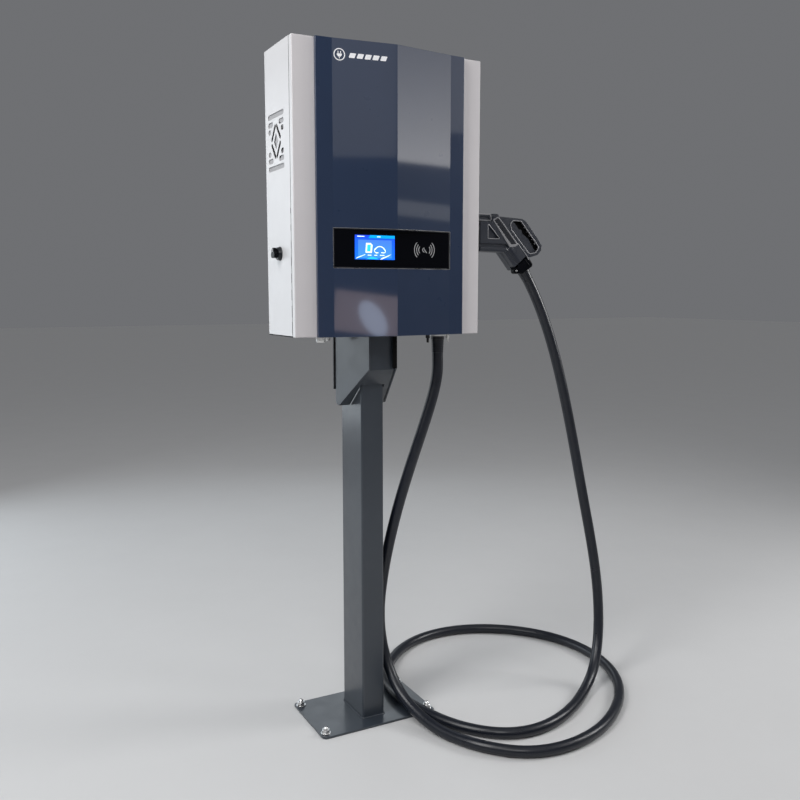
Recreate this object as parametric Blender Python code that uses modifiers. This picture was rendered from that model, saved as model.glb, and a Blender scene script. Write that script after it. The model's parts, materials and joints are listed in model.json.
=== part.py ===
"""DC charging post: a wall-box cabinet on a floor stand, with one captive cable and its connector.

Metres, +Z up, +X to the right of someone facing the display, -Y towards that person.
The origin is under the middle of the post, on the floor. Every sub-part is its own closed
solid, and pieces that touch keep a gap of 0.3 mm.
"""

import math

import bmesh
import bpy
import numpy as np
from mathutils import Matrix, Vector

GAP = 0.0003

# Floor stand
PLATE_HALF_WIDTH = 0.172
PLATE_HALF_DEPTH = 0.1125
PLATE_THICKNESS = 0.006
PLATE_CORNER = 0.014
ANCHOR_X = 0.156
ANCHOR_Y = 0.090
POST_HALF_WIDTH = 0.033
POST_HALF_DEPTH = 0.065
POST_WALL = 0.003
POST_TOP = 1.060
CAP_TOP = 1.0643

# Bracket head under the cabinet
HEAD_FRONT_Y = -0.1286
HEAD_REAR_Y = 0.0128
HEAD_FRONT_HALF = 0.0406
HEAD_REAR_HALF = 0.0737
CHEEK_THICKNESS = 0.004
CHEEK_FRONT_BOTTOM = 0.9853
CHEEK_REAR_BOTTOM = 0.8669
SEAT_BOTTOM = 1.0697

# Carrier behind the cabinet
CARRIER_FRONT_Y = 0.0132
CARRIER_REAR_Y = 0.0182
CARRIER_TOP = 1.600
SPINE_HALF_WIDTH = 0.030
SPINE_REAR_Y = 0.0586

# Cabinet
CABINET_HALF = 0.260
CABINET_BOTTOM = 1.074
CABINET_TOP = 1.774
COVER_FRONT_Y = -0.176
COVER_REAR_Y = -0.1605
TRAY_FRONT_Y = -0.1595
CABINET_REAR_Y = 0.008
SHEET = 0.0015

# Folded navy front: half widths and depths of its creases
FASCIA_EDGE_X = 0.204
FASCIA_EDGE_Y = -0.1863
FASCIA_CREASE_X = 0.163
FASCIA_CREASE_Y = -0.1880
FASCIA_RIDGE_Y = -0.209
FASCIA_SHEET = 0.002

# Display window
WINDOW_HALF = 0.164
WINDOW_BOTTOM = 1.2408
WINDOW_TOP = 1.3372
GLASS_FRONT_Y = -0.1885
GLASS_REAR_Y = -0.1855

# Side vents and fans
VENT_Y = -0.066
VENT_Z = 1.548
FAN_HALF = 0.060
FAN_BORE = 0.057
FAN_INNER_X = 0.231
FAN_OUTER_X = 0.256
ROTOR_X = 0.2435

# Parts inside the cabinet
INNER_PLATE_Y = -0.006
BREAKER_FRONT_Y = -0.074
TOGGLE_Y = -0.0785
TOGGLE_Z = 1.172
BUSBAR_TOP = 1.3597
CONTACTOR_TOP = 1.2153

# Underside fittings
OUTPUT_X = 0.187
FITTING_Y = -0.088
CLAMP_BOLT_OFFSET = 0.031
SMALL_GLAND = (-0.112, -0.020)
LARGE_GLAND_X = -0.157
NUT_BOTTOM = 1.056
SLEEVE_BOTTOM = 1.0207

# Rotary switch on the left side
SWITCH_Y = -0.0826
SWITCH_Z = 1.277

# Holster and connector on the right side
GUN_Y = -0.085
GUN_HALF = 0.026
HOLSTER_MOUTH_X = 0.296
HOLSTER_FLOOR_X = 0.2663
NOSE_FRONT_X = 0.270
NOSE_REAR_X = 0.3055
CONTACT_SPACING = 0.027
LATCH_PIVOT = (0.356, 1.380)
LATCH_HALF_WIDTH = 0.018
INLAY_THICKNESS = 0.001
CAP_HALF = 0.021
CLAMP_SCREW = (0.430, 1.243)
CABLE_MOUTH = Vector((0.4703, GUN_Y, 1.2452))
CABLE_AXIS = Vector((0.55, 0.0, -0.835)).normalized()
CONNECTOR_SLEEVE_LENGTH = 0.028

# Charging cable, 30 mm across and 5.4 m long, from the cabinet to the connector
CABLE_RADIUS = 0.015
CABLE_SPACING = 0.072
CABLE_LEAD = 0.008
CABLE_ROUTE = [
    (0.187, -0.088, 1.0204),
    (0.187, -0.088, 0.970),
    (0.174, -0.085, 0.900),
    (0.141, -0.072, 0.785),
    (0.105, -0.052, 0.655),
    (0.073, -0.031, 0.510),
    (0.056, -0.006, 0.360),
    (0.053, 0.000, 0.240),
    (0.061, -0.026, 0.140),
    (0.072, -0.085, 0.071),
    (0.088, -0.155, 0.0355),
    (0.112, -0.238, 0.0175),
    (0.156, -0.338, 0.0158),
    (0.235, -0.423, 0.0155),
    (0.335, -0.458, 0.0155),
    (0.470, -0.441, 0.0155),
    (0.600, -0.374, 0.0155),
    (0.706, -0.277, 0.0155),
    (0.778, -0.155, 0.0155),
    (0.804, -0.020, 0.0155),
    (0.781, 0.112, 0.0155),
    (0.705, 0.232, 0.0155),
    (0.580, 0.319, 0.0155),
    (0.440, 0.344, 0.0155),
    (0.310, 0.306, 0.0158),
    (0.200, 0.214, 0.0195),
    (0.128, 0.105, 0.0235),
    (0.104, 0.000, 0.0228),
    (0.116, -0.110, 0.0220),
    (0.165, -0.230, 0.0160),
    (0.258, -0.330, 0.0155),
    (0.372, -0.350, 0.0156),
    (0.500, -0.306, 0.0158),
    (0.605, -0.240, 0.0198),
    (0.680, -0.192, 0.056),
    (0.727, -0.155, 0.155),
    (0.731, -0.130, 0.330),
    (0.692, -0.104, 0.580),
    (0.627, -0.089, 0.875),
    (0.4861, -0.085, 1.2213),
]

PLANE_TURNS = {
    "XY": (0.0, 0.0, 0.0),
    "XZ": (math.radians(90), 0.0, 0.0),
    "YZ": (math.radians(90), 0.0, math.radians(90)),
}
PLANE_NORMALS = {"XY": Vector((0, 0, 1)), "XZ": Vector((0, 1, 0)), "YZ": Vector((1, 0, 0))}


def clear_scene():
    """Start from an empty scene."""
    for item in list(bpy.data.objects):
        bpy.data.objects.remove(item, do_unlink=True)


def new_collection(name):
    """A collection linked to the scene."""
    group = bpy.data.collections.new(name)
    bpy.context.scene.collection.children.link(group)
    return group


def new_material(name, colour, roughness, metallic=0.0):
    """A Principled material."""
    finish = bpy.data.materials.new(name)
    finish.use_nodes = True
    shader = finish.node_tree.nodes["Principled BSDF"]
    shader.inputs["Base Color"].default_value = (*colour, 1.0)
    shader.inputs["Roughness"].default_value = roughness
    shader.inputs["Metallic"].default_value = metallic
    finish.diffuse_color = (*colour, 1.0)
    return finish


clear_scene()
MODEL = new_collection("ev_charging_post")
HELPERS = new_collection("construction")

POST_PAINT = new_material("post_paint", (0.085, 0.095, 0.115), 0.45)
BLACK_STEEL = new_material("black_steel", (0.012, 0.012, 0.014), 0.5)
WHITE_PAINT = new_material("side_paint", (0.70, 0.71, 0.74), 0.4)
GREY_PAINT = new_material("cover_paint", (0.47, 0.45, 0.45), 0.4)
NAVY_PAINT = new_material("navy_paint", (0.020, 0.034, 0.080), 0.15)
BLACK_PLASTIC = new_material("black_plastic", (0.010, 0.010, 0.012), 0.4)
WINDOW_GLASS = new_material("window_glass", (0.004, 0.004, 0.005), 0.05)
SCREEN = new_material("screen", (0.02, 0.12, 0.60), 0.3)
BOARD = new_material("circuit_board", (0.01, 0.10, 0.04), 0.5)
ZINC = new_material("zinc_steel", (0.60, 0.61, 0.63), 0.3, 1.0)
ALUMINIUM = new_material("aluminium", (0.75, 0.76, 0.77), 0.35, 1.0)
COPPER = new_material("copper", (0.80, 0.40, 0.22), 0.3, 1.0)
GUN_SHELL = new_material("connector_shell", (0.024, 0.028, 0.045), 0.42)
CABLE_RUBBER = new_material("cable_rubber", (0.010, 0.011, 0.018), 0.4)


def add_piece(name, mesh, finish):
    """Put a mesh in the model, or among the hidden helpers when it has no finish."""
    piece = bpy.data.objects.new(name, mesh)
    if finish is None:
        HELPERS.objects.link(piece)
        piece.hide_render = True
        piece.display_type = "WIRE"
    else:
        MODEL.objects.link(piece)
        mesh.materials.append(finish)
    return piece


def mesh_from(form, name):
    """A mesh whose faces point out, from a finished bmesh."""
    bmesh.ops.recalc_face_normals(form, faces=form.faces)
    if form.calc_volume(signed=True) < 0:
        bmesh.ops.reverse_faces(form, faces=form.faces)
    mesh = bpy.data.meshes.new(name)
    form.to_mesh(mesh)
    form.free()
    return mesh


def box(name, low, high, finish=None):
    """A box between two corners."""
    low = Vector(low)
    high = Vector(high)
    size = high - low
    form = bmesh.new()
    bmesh.ops.create_cube(form, size=1.0)
    form.transform(Matrix.Translation((low + high) / 2) @ Matrix.Diagonal((*size, 1.0)))
    return add_piece(name, mesh_from(form, name), finish)


def rod(name, start, end, radius, finish=None, sides=24, end_radius=None):
    """A round bar, or a cone where the end has its own radius."""
    start = Vector(start)
    end = Vector(end)
    axis = end - start
    form = bmesh.new()
    bmesh.ops.create_cone(
        form,
        cap_ends=True,
        segments=sides,
        radius1=radius,
        radius2=radius if end_radius is None else end_radius,
        depth=axis.length,
    )
    turn = axis.to_track_quat("Z", "Y").to_matrix().to_4x4()
    form.transform(Matrix.Translation((start + end) / 2) @ turn)
    piece = add_piece(name, mesh_from(form, name), finish)
    piece.data.shade_smooth()
    piece.data.set_sharp_from_angle(angle=math.radians(35))
    return piece


def rounded(corners, radius, steps=3):
    """The corners of a flat outline, each replaced by an arc."""
    points = []
    for index, corner in enumerate(corners):
        here = Vector(corner)
        before = (Vector(corners[index - 1]) - here).normalized()
        after = (Vector(corners[(index + 1) % len(corners)]) - here).normalized()
        half_angle = before.angle(after) / 2
        reach = radius / math.tan(half_angle)
        centre = here + (before + after).normalized() * radius / math.sin(half_angle)
        first_arm = here + before * reach - centre
        last_arm = here + after * reach - centre
        for step in range(steps + 1):
            arm = first_arm.slerp(last_arm, step / steps).normalized() * radius
            points.append(tuple(centre + arm))
    return points


def rectangle(left, bottom, right, top, radius=0.0):
    """A rectangle's corners, rounded where a radius is given."""
    corners = [(left, bottom), (right, bottom), (right, top), (left, top)]
    return rounded(corners, radius) if radius else corners


def circle(across, up, radius, sides=24):
    """Points around a circle."""
    steps = [2 * math.pi * step / sides for step in range(sides)]
    return [(across + radius * math.cos(a), up + radius * math.sin(a)) for a in steps]


def slot(across, up, length, width, angle=0.0, steps=3):
    """A straight slot with rounded ends."""
    radius = width / 2
    reach = length / 2 - radius
    points = []
    for end in (0, 1):
        for step in range(steps + 1):
            turn = math.pi * (end + step / steps) - math.pi / 2
            along = reach * (1 - 2 * end) + radius * math.cos(turn)
            aside = radius * math.sin(turn)
            points.append(
                (
                    across + along * math.cos(angle) - aside * math.sin(angle),
                    up + along * math.sin(angle) + aside * math.cos(angle),
                )
            )
    return points


def outline(name, plane, loops, low, high, finish=None):
    """A flat shape with its holes, drawn in a plane and given thickness from low to high."""
    curve = bpy.data.curves.new(name + "_outline", "CURVE")
    curve.dimensions = "2D"
    curve.fill_mode = "BOTH"
    curve.extrude = (high - low) / 2
    for loop in loops:
        spline = curve.splines.new("POLY")
        spline.points.add(len(loop) - 1)
        spline.use_cyclic_u = True
        for point, (across, up) in zip(spline.points, loop):
            point.co = (across, up, 0.0, 1.0)
    guide = bpy.data.objects.new(name + "_outline", curve)
    HELPERS.objects.link(guide)
    guide.rotation_euler = PLANE_TURNS[plane]
    guide.location = PLANE_NORMALS[plane] * (low + high) / 2
    mesh = evaluated_mesh(guide)
    bpy.data.objects.remove(guide, do_unlink=True)
    form = bmesh.new()
    form.from_mesh(mesh)
    bmesh.ops.remove_doubles(form, verts=form.verts, dist=1e-6)
    return add_piece(name, mesh_from(form, name), finish)


def evaluated_mesh(item):
    """An object's finished mesh, in world coordinates."""
    bpy.context.view_layer.update()
    graph = bpy.context.evaluated_depsgraph_get()
    mesh = bpy.data.meshes.new_from_object(item.evaluated_get(graph))
    mesh.transform(item.matrix_world)
    return mesh


def turned(name, profile, base, direction, finish=None, steps=24):
    """A turned piece: a closed profile of (radius, height) pairs, swung about an axis at base."""
    form = bmesh.new()
    corners = [form.verts.new((radius, 0.0, height)) for radius, height in profile]
    for first, second in zip(corners, corners[1:] + corners[:1]):
        form.edges.new((first, second))
    mesh = bpy.data.meshes.new(name)
    form.to_mesh(mesh)
    form.free()
    piece = add_piece(name, mesh, finish)
    screw = piece.modifiers.new("turn", "SCREW")
    screw.angle = 2 * math.pi
    screw.steps = steps
    screw.render_steps = steps
    screw.use_merge_vertices = True
    screw.merge_threshold = 1e-5
    piece.rotation_euler = Vector(direction).to_track_quat("Z", "Y").to_euler()
    piece.location = base
    return piece


def combine(piece, tool, operation):
    """Boolean of a piece with a hidden tool: DIFFERENCE, UNION or INTERSECT."""
    modifier = piece.modifiers.new(tool.name, "BOOLEAN")
    modifier.operation = operation
    modifier.solver = "EXACT"
    modifier.object = tool


def cut(piece, *tools):
    """Take hidden tools away from a piece."""
    for tool in tools:
        combine(piece, tool, "DIFFERENCE")


def join(piece, *tools):
    """Add hidden tools to a piece."""
    for tool in tools:
        combine(piece, tool, "UNION")


def joint_empty(name, place):
    """An empty on a joint's axis, for the pieces that move with it."""
    empty = bpy.data.objects.new(name, None)
    MODEL.objects.link(empty)
    empty.location = place
    empty.empty_display_size = 0.02
    bpy.context.view_layer.update()
    return empty


def attach(empty, *pieces):
    """Parent pieces to a joint's empty without moving them."""
    for piece in pieces:
        piece.parent = empty
        piece.matrix_parent_inverse = empty.matrix_world.inverted()


def build_base_plate():
    """Floor plate with four anchor holes."""
    loops = [
        rounded(
            [
                (-PLATE_HALF_WIDTH, -PLATE_HALF_DEPTH),
                (PLATE_HALF_WIDTH, -PLATE_HALF_DEPTH),
                (PLATE_HALF_WIDTH, PLATE_HALF_DEPTH),
                (-PLATE_HALF_WIDTH, PLATE_HALF_DEPTH),
            ],
            PLATE_CORNER,
            steps=5,
        )
    ]
    for x in (-ANCHOR_X, ANCHOR_X):
        for y in (-ANCHOR_Y, ANCHOR_Y):
            loops.append(circle(x, y, 0.007, 12))
    outline("base_plate", "XY", loops, 0.0, PLATE_THICKNESS, POST_PAINT)


def build_anchor_bolt(name, x, y):
    """Anchor stud with its hex nut and washer."""
    top = PLATE_THICKNESS + GAP
    stud = rod(name, (x, y, 0.0005), (x, y, 0.0225), 0.006, ZINC, 12)
    washer = rod(name + "_washer", (x, y, top), (x, y, top + 0.0025), 0.0135, sides=20)
    nut = rod(name + "_nut", (x, y, top + 0.002), (x, y, top + 0.0115), 0.0112, sides=6)
    tip = rod(name + "_tip", (x, y, 0.022), (x, y, 0.0255), 0.006, sides=12, end_radius=0.0028)
    join(stud, washer, nut, tip)


def build_post():
    """Rectangular tube with a cable entry low at the back, and its cap."""
    wall = POST_WALL
    width = POST_HALF_WIDTH
    depth = POST_HALF_DEPTH
    outer = rectangle(-width, -depth, width, depth, 0.005)
    inner = rectangle(-width + wall, -depth + wall, width - wall, depth - wall, 0.002)
    post = outline("post_tube", "XY", [outer, inner], PLATE_THICKNESS + GAP, POST_TOP, POST_PAINT)
    entry = slot(0.0, 0.080, 0.070, 0.024, math.pi / 2)
    cut(post, outline("cable_entry", "XZ", [entry], depth - 0.01, depth + 0.01))
    outline("post_cap", "XY", [outer], POST_TOP + GAP, CAP_TOP, POST_PAINT)


def build_cheek(name, side):
    """Splayed side plate of the bracket head; its lower edge slopes down to the rear."""
    rear = Vector((side * HEAD_REAR_HALF, HEAD_REAR_Y, 0.0))
    front = Vector((side * HEAD_FRONT_HALF, HEAD_FRONT_Y, 0.0))
    along = front - rear
    top = SEAT_BOTTOM - GAP
    start = CHEEK_THICKNESS / 4
    tail = [(start, CHEEK_REAR_BOTTOM), (along.length, CHEEK_FRONT_BOTTOM), (along.length, top)]
    soft_tail = rounded([(start, top)] + tail, 0.012, 4)[5:10]
    corners = [(start, top)] + soft_tail + tail[1:]
    cheek = outline(name, "XZ", [corners], -CHEEK_THICKNESS / 2, CHEEK_THICKNESS / 2, POST_PAINT)
    angle = math.atan2(along.y, along.x)
    inward = Vector((-side * abs(along.y), abs(along.x), 0.0)).normalized()
    place = rear + inward * CHEEK_THICKNESS / 2
    cheek.data.transform(Matrix.Translation(place) @ Matrix.Rotation(angle, 4, "Z"))


def build_head_front():
    """Folded sheet between the cheeks: an upright front and a slope, notched for the post."""
    inset = CHEEK_THICKNESS + 0.0004
    section = [
        (-0.120, SEAT_BOTTOM - GAP),
        (-0.120, 0.982),
        (0.0035, 0.8785),
        (0.0054, 0.8808),
        (-0.117, 0.9834),
        (-0.117, SEAT_BOTTOM - GAP),
    ]
    sheet = outline("head_front", "YZ", [section], -0.09, 0.09, POST_PAINT)
    slope = (HEAD_REAR_HALF - HEAD_FRONT_HALF) / (HEAD_REAR_Y - HEAD_FRONT_Y)
    front_half = HEAD_FRONT_HALF - inset
    rear_half = front_half + slope * (0.010 - HEAD_FRONT_Y)
    plan = [
        (-front_half, HEAD_FRONT_Y),
        (front_half, HEAD_FRONT_Y),
        (rear_half, 0.010),
        (-rear_half, 0.010),
    ]
    combine(sheet, outline("between_cheeks", "XY", [plan], 0.80, 1.10), "INTERSECT")
    notch_half = POST_HALF_WIDTH + 0.0025
    notch_front = -POST_HALF_DEPTH - 0.0025
    cut(sheet, box("post_notch", (-notch_half, notch_front, 0.80), (notch_half, 0.05, 1.0)))


def build_seat_plate():
    """Plate on top of the head, which the cabinet stands on."""
    plan = [
        (-HEAD_FRONT_HALF, HEAD_FRONT_Y),
        (HEAD_FRONT_HALF, HEAD_FRONT_Y),
        (HEAD_REAR_HALF, HEAD_REAR_Y),
        (-HEAD_REAR_HALF, HEAD_REAR_Y),
    ]
    top = CABINET_BOTTOM - GAP
    outline("head_seat_plate", "XY", [plan], SEAT_BOTTOM, top, POST_PAINT)


def build_carrier():
    """Back plate that straddles the post, the spine tube behind it and the hanging rail."""
    leg = 0.078
    wing = 0.130
    notch = POST_HALF_WIDTH + 0.0006
    shoulder = CABINET_BOTTOM + 0.020
    plan = [
        (-leg, 0.923),
        (-notch, 0.923),
        (-notch, CAP_TOP + 0.0005),
        (notch, CAP_TOP + 0.0005),
        (notch, 0.923),
        (leg, 0.923),
        (leg, shoulder),
        (wing, shoulder + 0.05),
        (wing, CARRIER_TOP),
        (-wing, CARRIER_TOP),
        (-wing, shoulder + 0.05),
        (-leg, shoulder),
    ]
    outline("mount_plate", "XZ", [plan], CARRIER_FRONT_Y, CARRIER_REAR_Y, BLACK_STEEL)
    front = CARRIER_REAR_Y + GAP
    outer = rectangle(-SPINE_HALF_WIDTH, front, SPINE_HALF_WIDTH, SPINE_REAR_Y, 0.004)
    inner = rectangle(
        -SPINE_HALF_WIDTH + POST_WALL,
        front + POST_WALL,
        SPINE_HALF_WIDTH - POST_WALL,
        SPINE_REAR_Y - POST_WALL,
    )
    outline("spine_tube", "XY", [outer, inner], CAP_TOP + GAP, CARRIER_TOP, BLACK_STEEL)
    rail = rectangle(-0.120, 1.520, 0.120, 1.560, 0.004)
    outline("hanging_rail", "XZ", [rail], CABINET_REAR_Y + GAP, CARRIER_FRONT_Y - GAP, ZINC)


def build_body_tray():
    """Back, top and bottom of the cabinet, bent from one sheet."""
    bottom = CABINET_BOTTOM
    top = CABINET_TOP
    section = [
        (TRAY_FRONT_Y, bottom),
        (CABINET_REAR_Y, bottom),
        (CABINET_REAR_Y, top),
        (TRAY_FRONT_Y, top),
        (TRAY_FRONT_Y, top - SHEET),
        (CABINET_REAR_Y - SHEET, top - SHEET),
        (CABINET_REAR_Y - SHEET, bottom + SHEET),
        (TRAY_FRONT_Y, bottom + SHEET),
    ]
    half = CABINET_HALF - SHEET - GAP
    tray = outline("body_tray", "YZ", [section], -half, half, GREY_PAINT)
    holes = [
        ("output_hole", OUTPUT_X, FITTING_Y, 0.0165),
        ("large_supply_hole", LARGE_GLAND_X, FITTING_Y, 0.0105),
        ("small_supply_hole", *SMALL_GLAND, 0.0085),
        ("clamp_hole_left", OUTPUT_X - CLAMP_BOLT_OFFSET, FITTING_Y, 0.0035),
        ("clamp_hole_right", OUTPUT_X + CLAMP_BOLT_OFFSET, FITTING_Y, 0.0035),
    ]
    for name, x, y, radius in holes:
        cut(tray, rod(name, (x, y, bottom - 0.01), (x, y, bottom + 0.01), radius))


def vent_loops():
    """Vent openings: two long bars, short bars at the edges, and a diamond of slots."""
    loops = []
    bars = [(0.110, 0.0625, 0.0), (0.034, 0.0435, 0.037), (0.020, 0.0270, 0.044)]
    for length, rise, offset in bars:
        for up in (-rise, rise):
            for aside in {-offset, offset}:
                loops.append(slot(VENT_Y + aside, VENT_Z + up, length, 0.012))
    half_width = 0.034
    half_height = 0.043
    angle = math.atan2(half_height, half_width)
    length = math.hypot(half_width, half_height) * 0.86
    for aside in (-1, 1):
        for up in (-1, 1):
            across = VENT_Y + aside * half_width / 2
            height = VENT_Z + up * half_height / 2
            loops.append(slot(across, height, length, 0.010, -aside * up * angle))
    core = [(0.015, 0.0), (0.0, 0.020), (-0.015, 0.0), (0.0, -0.020)]
    loops.append([(VENT_Y + across, VENT_Z + up) for across, up in core])
    return loops


def build_side_panel(name, side):
    """Flat side panel with its vents; the left one also holds the rotary switch."""
    loops = [rectangle(TRAY_FRONT_Y, CABINET_BOTTOM, CABINET_REAR_Y, CABINET_TOP)]
    loops += vent_loops()
    if side < 0:
        loops.append(circle(SWITCH_Y, SWITCH_Z, 0.007, 16))
    low, high = sorted((side * (CABINET_HALF - SHEET), side * CABINET_HALF))
    outline(name, "YZ", loops, low, high, WHITE_PAINT)


def build_front_cover():
    """Shallow front tray with short returns and a window for the display."""
    cover = box(
        "front_cover",
        (-CABINET_HALF, COVER_FRONT_Y, CABINET_BOTTOM),
        (CABINET_HALF, COVER_REAR_Y, CABINET_TOP),
        GREY_PAINT,
    )
    hollow = box(
        "cover_hollow",
        (-CABINET_HALF + SHEET, COVER_FRONT_Y + SHEET, CABINET_BOTTOM + SHEET),
        (CABINET_HALF - SHEET, COVER_REAR_Y + 0.01, CABINET_TOP - SHEET),
    )
    window = box("cover_window", (-0.150, COVER_FRONT_Y - 0.01, 1.248), (0.150, -0.15, 1.330))
    cut(cover, hollow, window)


def fascia_plan(inset, back):
    """Half-hexagon plan of the navy front, moved inwards by inset and open to back."""
    side = FASCIA_EDGE_X - inset
    points = [
        (-side, back),
        (-side, FASCIA_EDGE_Y + inset),
        (-FASCIA_CREASE_X, FASCIA_CREASE_Y + inset),
        (0.0, FASCIA_RIDGE_Y + inset),
        (FASCIA_CREASE_X, FASCIA_CREASE_Y + inset),
        (side, FASCIA_EDGE_Y + inset),
        (side, back),
    ]
    return points


def build_fascia():
    """Folded navy sheet over the cover, with the display opening."""
    back = COVER_FRONT_Y - GAP
    bottom = CABINET_BOTTOM
    top = CABINET_TOP
    plan = fascia_plan(0.0, back)
    fascia = outline("fascia", "XY", [plan], bottom, top, NAVY_PAINT)
    inner = fascia_plan(FASCIA_SHEET, back + 0.01)
    edge = FASCIA_SHEET
    cut(fascia, outline("fascia_hollow", "XY", [inner], bottom + edge, top - edge))
    opening = box(
        "fascia_window",
        (-WINDOW_HALF, FASCIA_RIDGE_Y - 0.01, WINDOW_BOTTOM),
        (WINDOW_HALF, back + 0.005, WINDOW_TOP),
    )
    cut(fascia, opening)


def build_display():
    """Bezel, glass, screen module and card reader."""
    edge = 0.0005
    half = WINDOW_HALF - edge
    back = COVER_FRONT_Y - 2 * GAP
    plan = [
        (-half, back),
        (-half, FASCIA_CREASE_Y + 0.0008),
        (0.0, FASCIA_RIDGE_Y + 0.0012),
        (half, FASCIA_CREASE_Y + 0.0008),
        (half, back),
    ]
    low = WINDOW_BOTTOM + edge
    high = WINDOW_TOP - edge
    bezel = outline("display_bezel", "XY", [plan], low, high, BLACK_PLASTIC)
    rim = 0.003
    opening = box(
        "bezel_opening",
        (-half + rim, FASCIA_RIDGE_Y - 0.01, low + 0.0025),
        (half - rim, back + 0.01, high - 0.0025),
    )
    cut(bezel, opening)
    glass_half = half - rim - 0.0005
    box(
        "display_glass",
        (-glass_half, GLASS_FRONT_Y, low + 0.003),
        (glass_half, GLASS_REAR_Y, high - 0.003),
        WINDOW_GLASS,
    )
    behind = GLASS_REAR_Y + GAP
    box("lcd_module", (-0.112, behind, 1.259), (0.0075, -0.179, 1.327), SCREEN)
    box("card_reader", (0.050, behind, 1.262), (0.125, behind + 0.004, 1.317), BOARD)


def build_fan(label, side):
    """Square fan frame with its spider, and the rotor that turns in it."""
    low, high = sorted((side * FAN_INNER_X, side * FAN_OUTER_X))
    square = rectangle(
        VENT_Y - FAN_HALF, VENT_Z - FAN_HALF, VENT_Y + FAN_HALF, VENT_Z + FAN_HALF, 0.005
    )
    bore = circle(VENT_Y, VENT_Z, FAN_BORE, 32)
    frame = outline("fan_frame_" + label, "YZ", [square, bore], low, high, BLACK_PLASTIC)
    inner = side * FAN_INNER_X
    spider = side * (FAN_INNER_X + 0.0035)
    low, high = sorted((inner, spider))
    reach = FAN_BORE + 0.0015
    arm = 0.0025
    upright = box(
        "fan_upright_" + label,
        (low, VENT_Y - arm, VENT_Z - reach),
        (high, VENT_Y + arm, VENT_Z + reach),
    )
    crossbar = box(
        "fan_crossbar_" + label,
        (low, VENT_Y - reach, VENT_Z - arm),
        (high, VENT_Y + reach, VENT_Z + arm),
    )
    motor = rod("fan_motor_" + label, (low, VENT_Y, VENT_Z), (high, VENT_Y, VENT_Z), 0.018)
    join(frame, upright, crossbar, motor)
    build_rotor(label, side)


def build_rotor(label, side):
    """Fan hub with seven pitched blades."""
    blades = 7
    hub_start = side * (ROTOR_X - 0.007)
    hub_end = side * (ROTOR_X + 0.010)
    hub = rod(
        "fan_rotor_" + label,
        (hub_start, VENT_Y, VENT_Z),
        (hub_end, VENT_Y, VENT_Z),
        0.0175,
        BLACK_PLASTIC,
        21,
    )
    centre = Matrix.Translation((side * (ROTOR_X + 0.0015), VENT_Y, VENT_Z))
    pitch = Matrix.Rotation(math.radians(40), 4, "Z")
    for number in range(blades):
        turn = Matrix.Rotation(2 * math.pi * number / blades, 4, "X")
        blade = box(
            f"fan_blade_{label}_{number}", (-0.0008, -0.0105, 0.0150), (0.0008, 0.0105, 0.0530)
        )
        blade.data.transform(centre @ turn @ pitch)
        join(hub, blade)
    attach(joint_empty("fan_axis_" + label, (side * ROTOR_X, VENT_Y, VENT_Z)), hub)


def build_inside():
    """Mounting plate, power modules, control board and the output gear."""
    box("mounting_plate", (-0.228, INNER_PLATE_Y, 1.100), (0.228, -0.004, 1.750), ZINC)
    rear = INNER_PLATE_Y - 0.0005
    outer = rectangle(-0.100, 1.360, rear, 1.740, 0.002)
    inner = rectangle(-0.097, 1.363, rear - 0.003, 1.737)
    outline("power_module_left", "YZ", [outer, inner], -0.210, -0.005, ALUMINIUM)
    outline("power_module_right", "YZ", [outer, inner], 0.005, 0.210, ALUMINIUM)
    build_control_board()
    build_breaker(rear)
    box("output_contactor", (-0.060, -0.070, 1.130), (0.0, rear, CONTACTOR_TOP - GAP), BLACK_PLASTIC)
    box("terminal_block", (-0.125, -0.040, 1.120), (-0.070, rear, 1.150), BLACK_PLASTIC)
    for name, x in (("busbar_positive", -0.045), ("busbar_negative", -0.015)):
        low = (x - 0.006, -0.0515, CONTACTOR_TOP)
        box(name, low, (x + 0.006, -0.0485, BUSBAR_TOP), COPPER)


def build_control_board():
    """Circuit board with its larger components soldered on."""
    front = -0.1302
    board = box("control_board", (-0.120, front, 1.380), (0.120, front + 0.0016, 1.580), BOARD)
    parts = [
        ("board_transformer", (-0.095, 1.400), (-0.060, 1.435), 0.014),
        ("board_relay_row", (-0.040, 1.400), (0.050, 1.416), 0.012),
        ("board_processor", (-0.015, 1.480), (0.015, 1.510), 0.003),
        ("board_connector", (0.070, 1.540), (0.108, 1.552), 0.009),
    ]
    for name, low, high, depth in parts:
        corner = (low[0], front - depth, low[1])
        join(board, box(name, corner, (high[0], front + 0.001, high[1])))


def build_breaker(rear):
    """Main breaker with its toggle, which hangs on an axis in front of the case."""
    x = (-0.205, -0.135)
    box("main_breaker", (x[0], BREAKER_FRONT_Y, 1.130), (x[1], rear, 1.215), BLACK_PLASTIC)
    toggle = rod(
        "breaker_toggle",
        (-0.190, TOGGLE_Y, TOGGLE_Z),
        (-0.150, TOGGLE_Y, TOGGLE_Z),
        0.004,
        BLACK_PLASTIC,
        16,
    )
    lever = box("toggle_lever", (-0.188, -0.020, -0.002), (-0.152, 0.0, 0.002))
    tilt = Matrix.Rotation(math.radians(-25), 4, "X")
    lever.data.transform(Matrix.Translation((0.0, TOGGLE_Y, TOGGLE_Z)) @ tilt)
    join(toggle, lever)
    attach(joint_empty("toggle_axis", (-0.170, TOGGLE_Y, TOGGLE_Z)), toggle)


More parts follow.
